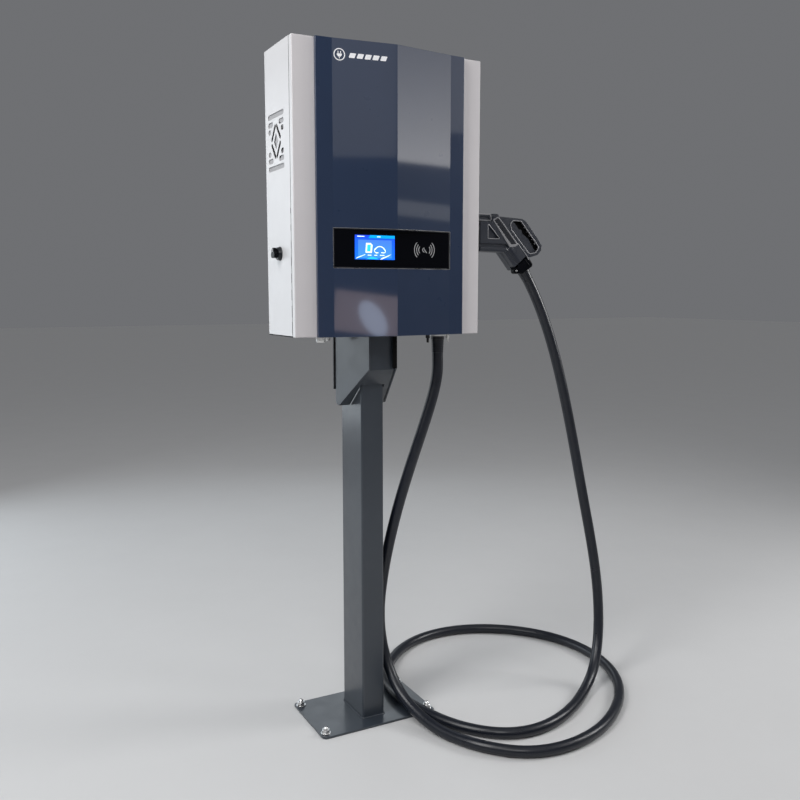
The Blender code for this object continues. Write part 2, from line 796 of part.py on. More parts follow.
def build_supply_gland(name, x, y, neck, hexagon):
    """Cable gland: a hex body under the cabinet, with a threaded neck and a bore."""
    top = CABINET_BOTTOM - GAP
    body = rod(name, (x, y, top - 0.010), (x, y, top), hexagon, ZINC, 6)
    thread = rod(name + "_neck", (x, y, top - 0.005), (x, y, top + 0.012), neck)
    dome = rod(
        name + "_dome",
        (x, y, top - 0.009),
        (x, y, NUT_BOTTOM),
        hexagon * 0.88,
        end_radius=hexagon * 0.6,
    )
    join(body, thread, dome)
    bore = rod(name + "_bore", (x, y, NUT_BOTTOM - 0.01), (x, y, top + 0.02), neck * 0.5, sides=16)
    cut(body, bore)


def build_output_fittings():
    """Flange and nut that hold the charging cable, its sleeve and the two clamp bolts."""
    x = OUTPUT_X
    y = FITTING_Y
    top = CABINET_BOTTOM - GAP
    gland = rod("output_gland", (x, y, top - 0.008), (x, y, top), 0.023, ZINC, 32)
    nut = rod("output_nut", (x, y, NUT_BOTTOM), (x, y, top - 0.002), 0.019, sides=12)
    neck = rod("output_neck", (x, y, top - 0.003), (x, y, top + 0.014), 0.0155)
    join(gland, nut, neck)
    rod(
        "cable_sleeve",
        (x, y, NUT_BOTTOM - GAP),
        (x, y, SLEEVE_BOTTOM),
        0.018,
        CABLE_RUBBER,
        end_radius=0.0156,
    )
    for label, side in (("left", -1), ("right", 1)):
        bolt_x = x + side * CLAMP_BOLT_OFFSET
        bolt = rod(
            "clamp_bolt_" + label, (bolt_x, y, top - 0.012), (bolt_x, y, top), 0.0065, ZINC, 6
        )
        shank = rod("clamp_shank_" + label, (bolt_x, y, 1.048), (bolt_x, y, 1.083), 0.003)
        join(bolt, shank)


def build_switch():
    """Rotary switch on the left side: a collar and a three-lobed knob on a shaft."""
    outer = -CABINET_HALF - GAP
    profile = [(0.0155, 0.0087), (0.017, 0.0), (0.0063, 0.0), (0.0063, 0.0087)]
    turned(
        "switch_bezel", profile, (outer, SWITCH_Y, SWITCH_Z), (-1, 0, 0), BLACK_PLASTIC
    )
    knob = rod(
        "switch_knob",
        (-0.2693, SWITCH_Y, SWITCH_Z),
        (-0.2785, SWITCH_Y, SWITCH_Z),
        0.0130,
        BLACK_PLASTIC,
        end_radius=0.0115,
    )
    for number in range(3):
        angle = math.radians(90 + 120 * number)
        y = SWITCH_Y + 0.0088 * math.cos(angle)
        z = SWITCH_Z + 0.0088 * math.sin(angle)
        lobe = rod(f"knob_lobe_{number}", (-0.2698, y, z), (-0.2800, y, z), 0.0055, sides=16)
        join(knob, lobe)
    shaft = rod(
        "knob_shaft", (-0.2500, SWITCH_Y, SWITCH_Z), (-0.2700, SWITCH_Y, SWITCH_Z), 0.0058
    )
    join(knob, shaft)
    attach(joint_empty("switch_axis", (-0.2690, SWITCH_Y, SWITCH_Z)), knob)


def build_holster():
    """Socket on the right side that the connector's nose is parked in."""
    outer = rectangle(GUN_Y - 0.036, 1.281, GUN_Y + 0.036, 1.402, 0.010)
    holster = outline(
        "holster", "YZ", [outer], CABINET_HALF + GAP, HOLSTER_MOUTH_X, BLACK_PLASTIC
    )
    cavity = rectangle(GUN_Y - 0.0305, 1.291, GUN_Y + 0.0305, 1.397, 0.006)
    cut(holster, outline("holster_cavity", "YZ", [cavity], HOLSTER_FLOOR_X, 0.32))


def connector_outline(heel):
    """Side outline of the connector, from the block to the guard; heel is its lowest corner."""
    return [
        (0.306, 1.2945),
        (0.306, 1.3765),
        (0.344, 1.3765),
        (0.352, 1.390),
        (0.374, 1.3915),
        (0.448, 1.388),
        (0.4615, 1.382),
        (0.5055, 1.3325),
        (0.5185, 1.315),
        (0.516, 1.301),
        (0.504, 1.2875),
        (0.4775, 1.2805),
        (0.464, 1.2815),
        (0.4361, 1.260),
        heel,
        (0.3895, 1.2925),
    ]


def finger_gap():
    """Outline of the gap between the scalloped grip bar and the guard."""
    return [
        (0.4185, 1.380),
        (0.4268, 1.371),
        (0.4367, 1.3587),
        (0.4476, 1.356),
        (0.4507, 1.3465),
        (0.4618, 1.339),
        (0.4709, 1.333),
        (0.4771, 1.3235),
        (0.4833, 1.3157),
        (0.4895, 1.3062),
        (0.4975, 1.2985),
        (0.506, 1.305),
        (0.5068, 1.3117),
        (0.451, 1.380),
    ]


def build_shells():
    """Two halves of the connector's casing, hollow inside and open at the parting plane."""
    channel_half = LATCH_HALF_WIDTH + 0.0008
    pivot_x, pivot_z = LATCH_PIVOT
    tools = [
        box("gun_hollow", (0.309, GUN_Y - 0.022, 1.300), (0.395, GUN_Y + 0.022, 1.368)),
        box(
            "latch_channel",
            (0.300, GUN_Y - channel_half, 1.3725),
            (0.376, GUN_Y + channel_half, 1.410),
        ),
        rod(
            "pivot_hole",
            (pivot_x, GUN_Y - 0.0240, pivot_z),
            (pivot_x, GUN_Y + 0.0240, pivot_z),
            0.0023,
            sides=12,
        ),
        rod("gun_tunnel", (0.400, GUN_Y, 1.352), CABLE_MOUTH, 0.012, sides=16),
    ]
    near = (GUN_Y - GUN_HALF, GUN_Y - GAP / 2, (0.4255, 1.2515))
    far = (GUN_Y + GAP / 2, GUN_Y + GUN_HALF, (0.4325, 1.2450))
    pieces = []
    for name, (low, high, heel) in (("connector_shell_near", near), ("connector_shell_far", far)):
        shell = outline(name, "XZ", [connector_outline(heel), finger_gap()], low, high, GUN_SHELL)
        cut(shell, *tools)
        pieces.append(shell)
    return pieces


def build_guard_ribs():
    """Ribbed strip on the inner face of the guard."""
    start = Vector((0.5047, 0.0, 1.3135))
    end = Vector((0.4542, 0.0, 1.3753))
    along = (end - start).normalized()
    inward = Vector((-along.z, 0.0, along.x))
    half = GUN_HALF - 0.003
    corners = [start, end, end + inward * 0.002, start + inward * 0.002]
    strip = outline(
        "guard_ribs",
        "XZ",
        [[(corner.x, corner.z) for corner in corners]],
        GUN_Y - half,
        GUN_Y + half,
        BLACK_PLASTIC,
    )
    for number in range(5):
        centre = start.lerp(end, (number + 0.5) / 5) + inward * 0.002
        low = Vector((centre.x, GUN_Y - half + 0.001, centre.z))
        high = Vector((centre.x, GUN_Y + half - 0.001, centre.z))
        join(strip, rod(f"guard_rib_{number}", low, high, 0.0022, sides=12))
    return strip


def build_inlays():
    """Raised slanting strip on each side of the block."""
    strip = [(0.350, 1.380), (0.364, 1.388), (0.430, 1.3165), (0.405, 1.312)]
    near = GUN_Y - GUN_HALF - GAP
    far = GUN_Y + GUN_HALF + GAP
    pieces = [
        outline("inlay_near", "XZ", [strip], near - INLAY_THICKNESS, near, GUN_SHELL),
        outline("inlay_far", "XZ", [strip], far, far + INLAY_THICKNESS, GUN_SHELL),
    ]
    return pieces


def build_latch():
    """Latch lever with its hook at the front and thumb tab at the rear, on a pivot pin."""
    pivot_x, pivot_z = LATCH_PIVOT
    profile = [
        (0.280, 1.3790),
        (0.290, 1.3790),
        (0.290, 1.3842),
        (0.299, 1.3842),
        (0.299, 1.3785),
        (0.344, 1.3785),
        (0.350, 1.3740),
        (0.362, 1.3740),
        (0.366, 1.3860),
        (0.374, 1.3930),
        (0.369, 1.3980),
        (0.354, 1.3980),
        (0.3505, 1.3920),
        (0.3475, 1.3965),
        (0.299, 1.3965),
        (0.299, 1.3900),
        (0.280, 1.3900),
    ]
    lever = outline(
        "latch_lever",
        "XZ",
        [profile, circle(pivot_x, pivot_z, 0.0023, 12)],
        GUN_Y - LATCH_HALF_WIDTH,
        GUN_Y + LATCH_HALF_WIDTH,
        BLACK_PLASTIC,
    )
    pin = rod(
        "latch_pin",
        (pivot_x, GUN_Y - 0.0235, pivot_z),
        (pivot_x, GUN_Y + 0.0235, pivot_z),
        0.0019,
        ZINC,
        12,
    )
    axis = joint_empty("latch_axis", (pivot_x, GUN_Y, pivot_z))
    attach(axis, lever)
    return axis, pin


def build_nose():
    """Insulated nose of the connector with its two power contacts."""
    section = rectangle(GUN_Y - 0.0255, 1.297, GUN_Y + 0.0255, 1.3745, 0.012)
    nose = outline("connector_nose", "YZ", [section], NOSE_FRONT_X, NOSE_REAR_X, BLACK_PLASTIC)
    pieces = [nose]
    for name, side in (("contact_positive", -1), ("contact_negative", 1)):
        y = GUN_Y + side * CONTACT_SPACING / 2
        z = 1.336
        cut(nose, rod(name + "_hole", (0.260, y, z), (0.298, y, z), 0.0060, sides=16))
        pieces.append(rod(name, (0.2685, y, z), (0.2977, y, z), 0.0055, COPPER, 16))
    return pieces


def build_cable_clamp():
    """Clamp cap where the cable enters, its screw and the tapered sleeve."""
    profile = [
        (0.4366, 1.2592),
        (0.4641, 1.2804),
        (0.476, 1.279),
        (0.4875, 1.264),
        (0.4866, 1.2559),
        (0.4540, 1.2345),
        (0.434, 1.235),
    ]
    near = GUN_Y - CAP_HALF
    far = GUN_Y + CAP_HALF
    cap = outline("clamp_cap", "XZ", [profile], near, far, BLACK_PLASTIC)
    x, z = CLAMP_SCREW
    join(cap, rod("screw_boss", (x, near + 0.0005, z), (x, near + 0.0150, z), 0.0085))
    screw = rod("clamp_screw", (x, near - GAP, z), (x, near - 0.0022, z), 0.0032, ZINC)
    start = CABLE_MOUTH + CABLE_AXIS * GAP
    end = CABLE_MOUTH + CABLE_AXIS * CONNECTOR_SLEEVE_LENGTH
    sleeve = rod("connector_sleeve", start, end, 0.0175, CABLE_RUBBER, end_radius=0.0153)
    return [cap, screw, sleeve]


def build_connector():
    """The whole connector, which slides out of its holster along +X."""
    slide = joint_empty("connector_slide", (NOSE_REAR_X, GUN_Y, 1.336))
    latch_axis, pin = build_latch()
    pieces = build_nose() + build_shells() + build_inlays() + build_cable_clamp()
    attach(slide, *pieces, build_guard_ribs(), pin, latch_axis)


def spline_slopes(points, steps, first, last):
    """Slopes of the cubic curve through points that is smooth at every one of them."""
    count = len(points)
    matrix = np.eye(count)
    right = np.zeros((count, 3))
    right[0] = first
    right[-1] = last
    for index in range(1, count - 1):
        before = steps[index - 1]
        after = steps[index]
        matrix[index, index - 1] = after
        matrix[index, index] = 2 * (before + after)
        matrix[index, index + 1] = before
        rise_before = (points[index] - points[index - 1]) / before
        rise_after = (points[index + 1] - points[index]) / after
        right[index] = 3 * (after * rise_before + before * rise_after)
    return np.linalg.solve(matrix, right)


def smooth_path(route, first_direction, last_direction, spacing):
    """Evenly spaced points along the smooth curve through a route."""
    points = np.array(route)
    chords = np.linalg.norm(np.diff(points, axis=0), axis=1)
    steps = np.sqrt(chords)
    first = first_direction * steps[0]
    last = last_direction * steps[-1]
    slopes = spline_slopes(points, steps, first, last)
    dense = []
    for index, step in enumerate(steps):
        for part in np.linspace(0.0, 1.0, 30, endpoint=False):
            square = part * part
            cube = square * part
            dense.append(
                (2 * cube - 3 * square + 1) * points[index]
                + (cube - 2 * square + part) * step * slopes[index]
                + (3 * square - 2 * cube) * points[index + 1]
                + (cube - square) * step * slopes[index + 1]
            )
    dense.append(points[-1])
    dense = np.array(dense)
    lengths = np.linalg.norm(np.diff(dense, axis=0), axis=1)
    travelled = np.concatenate([[0.0], np.cumsum(lengths)])
    count = round(travelled[-1] / spacing)
    wanted = np.linspace(0.0, travelled[-1], count + 1)
    return np.stack([np.interp(wanted, travelled, dense[:, axis]) for axis in range(3)], axis=1)


def build_cable():
    """Charging cable: down from the cabinet, one loop on the floor and up to the connector."""
    down = np.array((0.0, 0.0, -1.0))
    inwards = np.array(-CABLE_AXIS)
    path = smooth_path(CABLE_ROUTE, down, inwards, CABLE_SPACING)
    path = np.insert(path, 1, path[0] + down * CABLE_LEAD, axis=0)
    path = np.insert(path, len(path) - 1, path[-1] - inwards * CABLE_LEAD, axis=0)
    curve = bpy.data.curves.new("charge_cable", "CURVE")
    curve.dimensions = "3D"
    curve.bevel_depth = CABLE_RADIUS
    curve.bevel_resolution = 3
    curve.use_fill_caps = True
    curve.render_resolution_u = 0
    spline = curve.splines.new("POLY")
    spline.points.add(len(path) - 1)
    for point, place in zip(spline.points, path):
        point.co = (*place, 1.0)
    curve.materials.append(CABLE_RUBBER)
    cable = bpy.data.objects.new("charge_cable", curve)
    MODEL.objects.link(cable)


def build_stand():
    """Everything from the floor to the cabinet's seat, and the carrier behind it."""
    build_base_plate()
    for x_label, x in (("left", -ANCHOR_X), ("right", ANCHOR_X)):
        for y_label, y in (("front", -ANCHOR_Y), ("rear", ANCHOR_Y)):
            build_anchor_bolt(f"anchor_bolt_{y_label}_{x_label}", x, y)
    build_post()
    build_cheek("head_cheek_left", -1)
    build_cheek("head_cheek_right", 1)
    build_head_front()
    build_seat_plate()
    build_carrier()


def build_cabinet():
    """The cabinet, what is inside it and the fittings on its faces."""
    build_body_tray()
    build_side_panel("side_panel_left", -1)
    build_side_panel("side_panel_right", 1)
    build_front_cover()
    build_fascia()
    build_display()
    build_fan("left", -1)
    build_fan("right", 1)
    build_inside()
    build_supply_gland("supply_gland_large", LARGE_GLAND_X, FITTING_Y, 0.0100, 0.014)
    build_supply_gland("supply_gland_small", *SMALL_GLAND, 0.0080, 0.011)
    build_output_fittings()
    build_switch()
    build_holster()


def build_charging_post():
    """Build the whole object."""
    build_stand()
    build_cabinet()
    build_connector()
    build_cable()


build_charging_post()
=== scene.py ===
import json
import math
from math import cos, pi, radians, sin

import bmesh
import bpy
import numpy as np
from mathutils import Matrix, Quaternion, Vector

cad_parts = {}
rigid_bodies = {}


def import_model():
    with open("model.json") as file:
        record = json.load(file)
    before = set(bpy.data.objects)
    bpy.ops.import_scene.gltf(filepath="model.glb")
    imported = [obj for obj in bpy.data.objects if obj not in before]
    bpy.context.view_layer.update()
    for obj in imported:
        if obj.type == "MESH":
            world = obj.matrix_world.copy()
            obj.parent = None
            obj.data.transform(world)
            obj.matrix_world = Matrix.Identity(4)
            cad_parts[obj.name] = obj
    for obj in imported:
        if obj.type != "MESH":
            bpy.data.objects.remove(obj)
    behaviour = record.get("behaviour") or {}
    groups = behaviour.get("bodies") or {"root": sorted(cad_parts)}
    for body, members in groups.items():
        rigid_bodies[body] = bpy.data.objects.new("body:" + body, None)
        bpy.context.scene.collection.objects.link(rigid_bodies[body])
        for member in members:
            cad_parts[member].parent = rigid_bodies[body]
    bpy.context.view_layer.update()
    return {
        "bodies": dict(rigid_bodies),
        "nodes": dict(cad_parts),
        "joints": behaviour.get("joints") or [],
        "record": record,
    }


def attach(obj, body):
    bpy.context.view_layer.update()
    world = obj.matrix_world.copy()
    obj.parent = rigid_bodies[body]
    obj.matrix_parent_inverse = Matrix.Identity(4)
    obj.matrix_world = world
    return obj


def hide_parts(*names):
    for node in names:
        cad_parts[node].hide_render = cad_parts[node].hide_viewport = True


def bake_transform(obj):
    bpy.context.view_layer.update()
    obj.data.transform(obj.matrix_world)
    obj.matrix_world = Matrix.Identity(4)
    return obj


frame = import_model()
NODES = frame["nodes"]
SCENE = bpy.context.scene


def placed(name, data):
    """A new object in the scene."""
    item = bpy.data.objects.new(name, data)
    SCENE.collection.objects.link(item)
    return item


# Camera, at the photograph's viewing angle
lens = bpy.data.cameras.new("view")
lens.lens = 38.88
lens.sensor_width = 36.0
lens.clip_end = 60.0
camera = placed("view", lens)
camera.location = (-1.0122, -2.1227, 1.1809)
camera.rotation_euler = (pi / 2 - 0.1231, 0.0, -0.4892)
SCENE.camera = camera

# The charging cable's centreline, from the cabinet to the connector
CABLE_RADIUS = 0.015
CABLE_ROUTE = [
    (0.187, -0.088, 1.0204), (0.187, -0.088, 0.97), (0.174, -0.085, 0.9),
    (0.141, -0.072, 0.785), (0.105, -0.052, 0.655), (0.073, -0.031, 0.51),
    (0.056, -0.006, 0.36), (0.053, 0.0, 0.24), (0.061, -0.026, 0.14),
    (0.072, -0.085, 0.071), (0.088, -0.155, 0.0355), (0.112, -0.238, 0.0175),
    (0.156, -0.338, 0.0158), (0.235, -0.423, 0.0155), (0.335, -0.458, 0.0155),
    (0.47, -0.441, 0.0155), (0.6, -0.374, 0.0155), (0.706, -0.277, 0.0155),
    (0.778, -0.155, 0.0155), (0.804, -0.02, 0.0155), (0.781, 0.112, 0.0155),
    (0.705, 0.232, 0.0155), (0.58, 0.319, 0.0155), (0.44, 0.344, 0.0155),
    (0.31, 0.306, 0.0158), (0.2, 0.214, 0.0195), (0.128, 0.105, 0.0235),
    (0.104, 0.0, 0.0228), (0.116, -0.11, 0.022), (0.165, -0.23, 0.016),
    (0.258, -0.33, 0.0155), (0.372, -0.35, 0.0156), (0.5, -0.306, 0.0158),
    (0.605, -0.24, 0.0198), (0.68, -0.192, 0.056), (0.727, -0.155, 0.155),
    (0.731, -0.13, 0.33), (0.692, -0.104, 0.58), (0.627, -0.089, 0.875),
    (0.4861, -0.085, 1.2213),
]
GUN_Y = -0.085
CABLE_MOUTH = Vector((0.4703, GUN_Y, 1.2452))
CABLE_AXIS = Vector((0.55, 0.0, -0.835)).normalized()

TURNS = {
    "XY": Matrix.Identity(4),
    "XZ": Matrix.Rotation(radians(90), 4, "X"),
    "YZ": Matrix.Rotation(radians(90), 4, "Z") @ Matrix.Rotation(radians(90), 4, "X"),
}
NORMALS = {"XY": Vector((0, 0, 1)), "XZ": Vector((0, 1, 0)), "YZ": Vector((1, 0, 0))}


# ---- materials
def new_material(name):
    """A new material with its node tree, its Principled shader's inputs and object coordinates."""
    material = bpy.data.materials.new(name)
    material.use_nodes = True
    tree = material.node_tree
    place = tree.nodes.new("ShaderNodeTexCoord").outputs["Object"]
    return material, tree, tree.nodes["Principled BSDF"].inputs, place


def feed(tree, socket, value):
    """Link another node's output to a socket, or set the socket's own value."""
    if isinstance(value, bpy.types.NodeSocket):
        tree.links.new(value, socket)
    else:
        socket.default_value = value


def add(tree, kind, operation=None, **inputs):
    """A shader node with its inputs fed."""
    node = tree.nodes.new("ShaderNode" + kind)
    if operation:
        node.operation = operation
    for name, value in inputs.items():
        feed(tree, node.inputs[name.replace("_", " ")], value)
    return node


def noise(tree, place, scale, detail=3.0, rough=0.55, squeeze=None):
    """A noise pattern of so many features per metre."""
    if squeeze is not None:
        place = add(tree, "Mapping", Scale=squeeze, Vector=place).outputs["Vector"]
    node = add(tree, "TexNoise", Scale=scale, Detail=detail, Roughness=rough, Vector=place)
    return node.outputs["Fac"]


def spread(tree, value, low, high, start=0.3, end=0.7):
    """A value stretched from start..end to low..high."""
    node = add(tree, "MapRange", Value=value, From_Min=start, From_Max=end, To_Min=low, To_Max=high)
    return node.outputs["Result"]


def blend_colours(tree, factor, first, second):
    """One colour into another; each is a colour or a socket."""
    node = add(tree, "Mix")
    node.data_type = "RGBA"
    tree.links.new(factor, node.inputs["Factor"])
    for name, colour in (("A", first), ("B", second)):
        if isinstance(colour, tuple):
            colour = (*colour, 1.0)
        feed(tree, node.inputs[name], colour)
    return node.outputs["Result"]


def bump(tree, height, depth, under=None):
    """Relief of a real depth in metres, on top of another one."""
    node = add(tree, "Bump", Strength=1.0, Distance=depth, Height=height)
    if under is not None:
        tree.links.new(under, node.inputs["Normal"])
    return node.outputs["Normal"]


def edge_mask(tree, radius):
    """1 along sharp edges and 0 on flat faces."""
    soft = add(tree, "Bevel", Radius=radius)
    soft.samples = 4
    compare = add(tree, "VectorMath", "DOT_PRODUCT")
    tree.links.new(soft.outputs["Normal"], compare.inputs[0])
    tree.links.new(add(tree, "NewGeometry").outputs["Normal"], compare.inputs[1])
    return spread(tree, compare.outputs["Value"], 1.0, 0.0, 0.8, 0.985)


def scaled(colour, factor):
    """A lighter or darker version of a colour."""
    return tuple(min(1.0, part * factor) for part in colour)


DUST = (0.36, 0.35, 0.34)


def surface(
    name, colour, roughness, metallic=0.0, drift=0.06, uneven=0.05, grain=900.0, depth=0.00002,
    wave=0.0, coat=0.0, coat_roughness=0.05, dust=0.0, wear_and_edge_highlight=0.0, specular=0.5, squeeze=None,
):
    """A painted, moulded or plated finish with drift in colour and gloss and a fine relief."""
    material, tree, shader, place = new_material("finish_" + name)
    broad = spread(tree, noise(tree, place, 4.0), 0.0, 1.0)
    tone = blend_colours(tree, broad, scaled(colour, 1 - drift), scaled(colour, 1 + drift))
    if dust:
        film = spread(tree, noise(tree, place, 35.0, 6.0, 0.7), 0.0, dust, 0.52, 0.8)
        tone = blend_colours(tree, film, tone, DUST)
    # Lighter, patchy edges: a painted highlight along sharp edges, with a worn look.
    if wear_and_edge_highlight:
        patchy = spread(tree, noise(tree, place, 90.0, 4.0), 0.4, 1.0)
        edges = add(tree, "Math", "MULTIPLY")
        tree.links.new(edge_mask(tree, wear_and_edge_highlight), edges.inputs[0])
        tree.links.new(patchy, edges.inputs[1])
        worn_edge_highlight = tuple(min(1.0, part * 2.0 + 0.05) for part in colour)
        tone = blend_colours(tree, edges.outputs[0], tone, worn_edge_highlight)
    patches = noise(tree, place, 22.0, 5.0, 0.6)
    gloss = spread(tree, patches, max(0.02, roughness - uneven), roughness + uneven)
    relief = bump(tree, noise(tree, place, 6.0, 1.0, 0.4), wave) if wave else None
    relief = bump(tree, noise(tree, place, grain, 2.0, 0.5, squeeze), depth, relief)
    inputs = [
        ("Base Color", tone), ("Roughness", gloss), ("Normal", relief), ("Metallic", metallic),
        ("Specular IOR Level", specular),
    ]
    if coat:
        inputs += [("Coat Weight", coat), ("Coat Roughness", coat_roughness)]
    for socket, value in inputs:
        feed(tree, shader[socket], value)
    return material


def glow(name, low_colour, high_colour, low_z, high_z, strength):
    """A lit display colour that runs from a lower to an upper one, behind a faint pixel grid."""
    material, tree, shader, place = new_material(name)
    upwards = add(tree, "SeparateXYZ", Vector=place).outputs["Z"]
    height = spread(tree, upwards, 0.0, 1.0, low_z, high_z)
    tone = blend_colours(tree, height, low_colour, high_colour)
    cells = add(tree, "TexVoronoi", Scale=2200.0, Vector=place)
    dim = spread(tree, cells.outputs["Distance"], 0.0, 0.16, 0.3, 0.9)
    tone = blend_colours(tree, dim, tone, (0.0, 0.005, 0.03))
    tree.links.new(tone, shader["Base Color"])
    tree.links.new(tone, shader["Emission Color"])
    shader["Emission Strength"].default_value = strength
    shader["Roughness"].default_value = 0.12
    return material


# The post paint carries a painted highlight along its edges, patchy like wear.
POST_PAINT = surface(
    "post_paint", (0.03, 0.0375, 0.0485), 0.33, grain=700, depth=0.000014, dust=0.02, coat=0.4,
    coat_roughness=0.16, wear_and_edge_highlight=0.001,
)
BLACK_STEEL = surface("black_steel", (0.009, 0.01, 0.012), 0.42, grain=600, dust=0.02)
SIDE_PAINT = surface("side_paint", (0.565, 0.562, 0.572), 0.34, drift=0.012, grain=650)
COVER_PAINT = surface("cover_paint", (0.6, 0.575, 0.585), 0.36, drift=0.02, grain=650)
NAVY_PAINT = surface(
    "navy_paint", (0.014, 0.027, 0.062), 0.3, drift=0.05, uneven=0.03, grain=420, depth=0.000006,
    wave=0.0005, coat=1.0, coat_roughness=0.05, specular=0.15,
)
BLACK_PLASTIC = surface("black_plastic", (0.0045, 0.0055, 0.009), 0.3, grain=1500, depth=0.00003)
WINDOW_GLASS = surface(
    "window_glass", (0.0015, 0.0017, 0.003), 0.05, uneven=0.015, grain=5.0, drift=0.1, specular=0.12
)
BOARD = surface("circuit_board", (0.008, 0.075, 0.028), 0.42, grain=1200, depth=0.00004, dust=0.05)
ZINC = surface("zinc_steel", (0.6, 0.6, 0.6), 0.24, 1.0, drift=0.12, uneven=0.09, grain=260)
ALUMINIUM = surface("aluminium", (0.72, 0.73, 0.74), 0.32, 1.0, grain=300, squeeze=(1.0, 1.0, 14.0))
COPPER = surface("copper", (0.8, 0.42, 0.25), 0.26, 1.0, drift=0.12, grain=400, depth=0.00001)
# The connector shell carries a painted highlight along its edges, patchy like wear.
SHELL = surface(
    "connector_shell", (0.015, 0.0185, 0.0285), 0.34, grain=1400, depth=0.00003, wear_and_edge_highlight=0.0018
)
# Light grey that paints the highlights on the connector's raised frame, ridge, beads, rib tips and
# latch rim.
HIGHLIGHT_GREY = surface(
    "connector_highlight_grey", (0.24, 0.24, 0.25), 0.3, grain=1400, wear_and_edge_highlight=0.001
)
TRIM_DARK = surface(
    "connector_dark", (0.0045, 0.006, 0.011), 0.28, grain=1400
)
GLOSS_BLACK = surface(
    "gloss_black", (0.0014, 0.0018, 0.0034), 0.25, grain=1500, specular=0.07
)
# Deep black for dark seams, and as painted shade in the finger gap and beside the head's front.
DEEP_BLACK = surface(
    "deep_black", (0.0008, 0.0009, 0.0013), 0.6, grain=1500, depth=0.00003, specular=0.1,
)
NICKEL = surface(
    "nickel_plate", (0.8, 0.8, 0.78), 0.3, 0.55, drift=0.08, grain=260
)
RUBBER = surface(
    "cable_rubber", (0.005, 0.007, 0.013), 0.32, uneven=0.06, grain=1100, depth=0.00003,
    dust=0.02, drift=0.15,
)
FILTER = surface(
    "filter_mesh", (0.34, 0.34, 0.35), 0.8, grain=1600, depth=0.0004, drift=0.04
)
WELD = surface(
    "weld_bead", (0.042, 0.05, 0.063), 0.42, grain=240, depth=0.0004, dust=0.1
)
BARE_EDGE = surface(
    "bare_edge", (0.55, 0.54, 0.52), 0.34, 1.0, drift=0.3, uneven=0.15, grain=300, depth=0.00005,
)
PRINT_WHITE = surface(
    "print_white", (0.82, 0.82, 0.84), 0.4, grain=1500, depth=0.00001
)
PRINT_GREY = surface(
    "print_grey", (0.42, 0.42, 0.43), 0.4, grain=1500, depth=0.00001
)
LCD_BLUE = glow("lcd_blue", (0.006, 0.16, 1.0), (0.01, 0.085, 0.95), 1.262, 1.323, 0.8)
LCD_PANEL = glow("lcd_panel", (0.045, 0.27, 1.0), (0.06, 0.2, 0.9), 1.266, 1.312, 0.78)
LCD_HEADER = glow("lcd_header", (0.0, 0.32, 1.0), (0.0, 0.42, 1.0), 1.313, 1.323, 0.85)
LCD_DARK = glow("lcd_dark", (0.01, 0.07, 0.8), (0.01, 0.06, 0.72), 1.313, 1.323, 0.85)
LCD_WHITE = glow("lcd_white", (0.75, 0.9, 1.0), (0.8, 0.95, 1.0), 1.262, 1.323, 0.95)
LCD_CYAN = glow("lcd_cyan", (0.02, 0.5, 0.95), (0.04, 0.6, 1.0), 1.27, 1.31, 0.9)

# ---- shapes
def evaluated(item):
    """An object's finished mesh, in its place; the object is then removed."""
    bpy.context.view_layer.update()
    graph = bpy.context.evaluated_depsgraph_get()
    mesh = bpy.data.meshes.new_from_object(item.evaluated_get(graph))
    mesh.transform(item.matrix_world)
    bpy.data.objects.remove(item, do_unlink=True)
    return mesh


def meshed(form):
    """The mesh of an edited form."""
    mesh = bpy.data.meshes.new("shape")
    form.to_mesh(mesh)
    form.free()
    return mesh


def welded(mesh):
    """The mesh with its doubled points merged and its faces turned outwards."""
    form = bmesh.new()
    form.from_mesh(mesh)
    bmesh.ops.remove_doubles(form, verts=form.verts, dist=2e-6)
    bmesh.ops.recalc_face_normals(form, faces=form.faces)
    if form.calc_volume(signed=True) < 0:
        bmesh.ops.reverse_faces(form, faces=form.faces)
    form.to_mesh(mesh)
    form.free()
    return mesh


def swung(across, up, along, aside, turn):
    """The point at (along, aside) from a centre, turned about it by an angle."""
    return (
        across + along * cos(turn) - aside * sin(turn),
        up + along * sin(turn) + aside * cos(turn),
    )


def polar(across, up, radius, turn):
    """The point at a distance and an angle from a centre."""
    return swung(across, up, radius, 0.0, turn)


def moved(points, across, up):
    """Points shifted in their plane."""
    return [(across + a, up + u) for a, u in points]


def whole_turn(sides, start=0.0):
    """Evenly spaced angles all the way round."""
    return [start + 2 * pi * step / sides for step in range(sides)]


def rectangle(left, low, right, high, radius=0.0, steps=4):
    """A rectangle, with round corners where a radius is given."""
    loop = [(left, low), (right, low), (right, high), (left, high)]
    return rounded(loop, radius, steps) if radius else loop


def rounded(loop, radius, steps=4):
    """A polygon with its corners rounded, as far as its sides are long enough."""
    points = []
    count = len(loop)
    for index in range(count):
        corner = Vector(loop[index])
        before = Vector(loop[index - 1]) - corner
        after = Vector(loop[(index + 1) % count]) - corner
        opening = before.angle(after)
        if opening > radians(176):
            points.append(tuple(corner))
            continue
        reach = radius / math.tan(opening / 2)
        reach = min(reach, before.length * 0.45, after.length * 0.45)
        real = reach * math.tan(opening / 2)
        middle = corner + (before.normalized() + after.normalized()).normalized() * (
            real / sin(opening / 2)
        )
        first = corner + before.normalized() * reach - middle
        last = corner + after.normalized() * reach - middle
        swing = first.angle_signed(last)
        for step in range(steps + 1):
            points.append(swung(*middle, *first, -swing * step / steps))
    return points


def circle(across, up, radius, sides=32, start=0.0):
    """Points around a circle, or the corners of an even polygon."""
    return [polar(across, up, radius, turn) for turn in whole_turn(sides, start)]


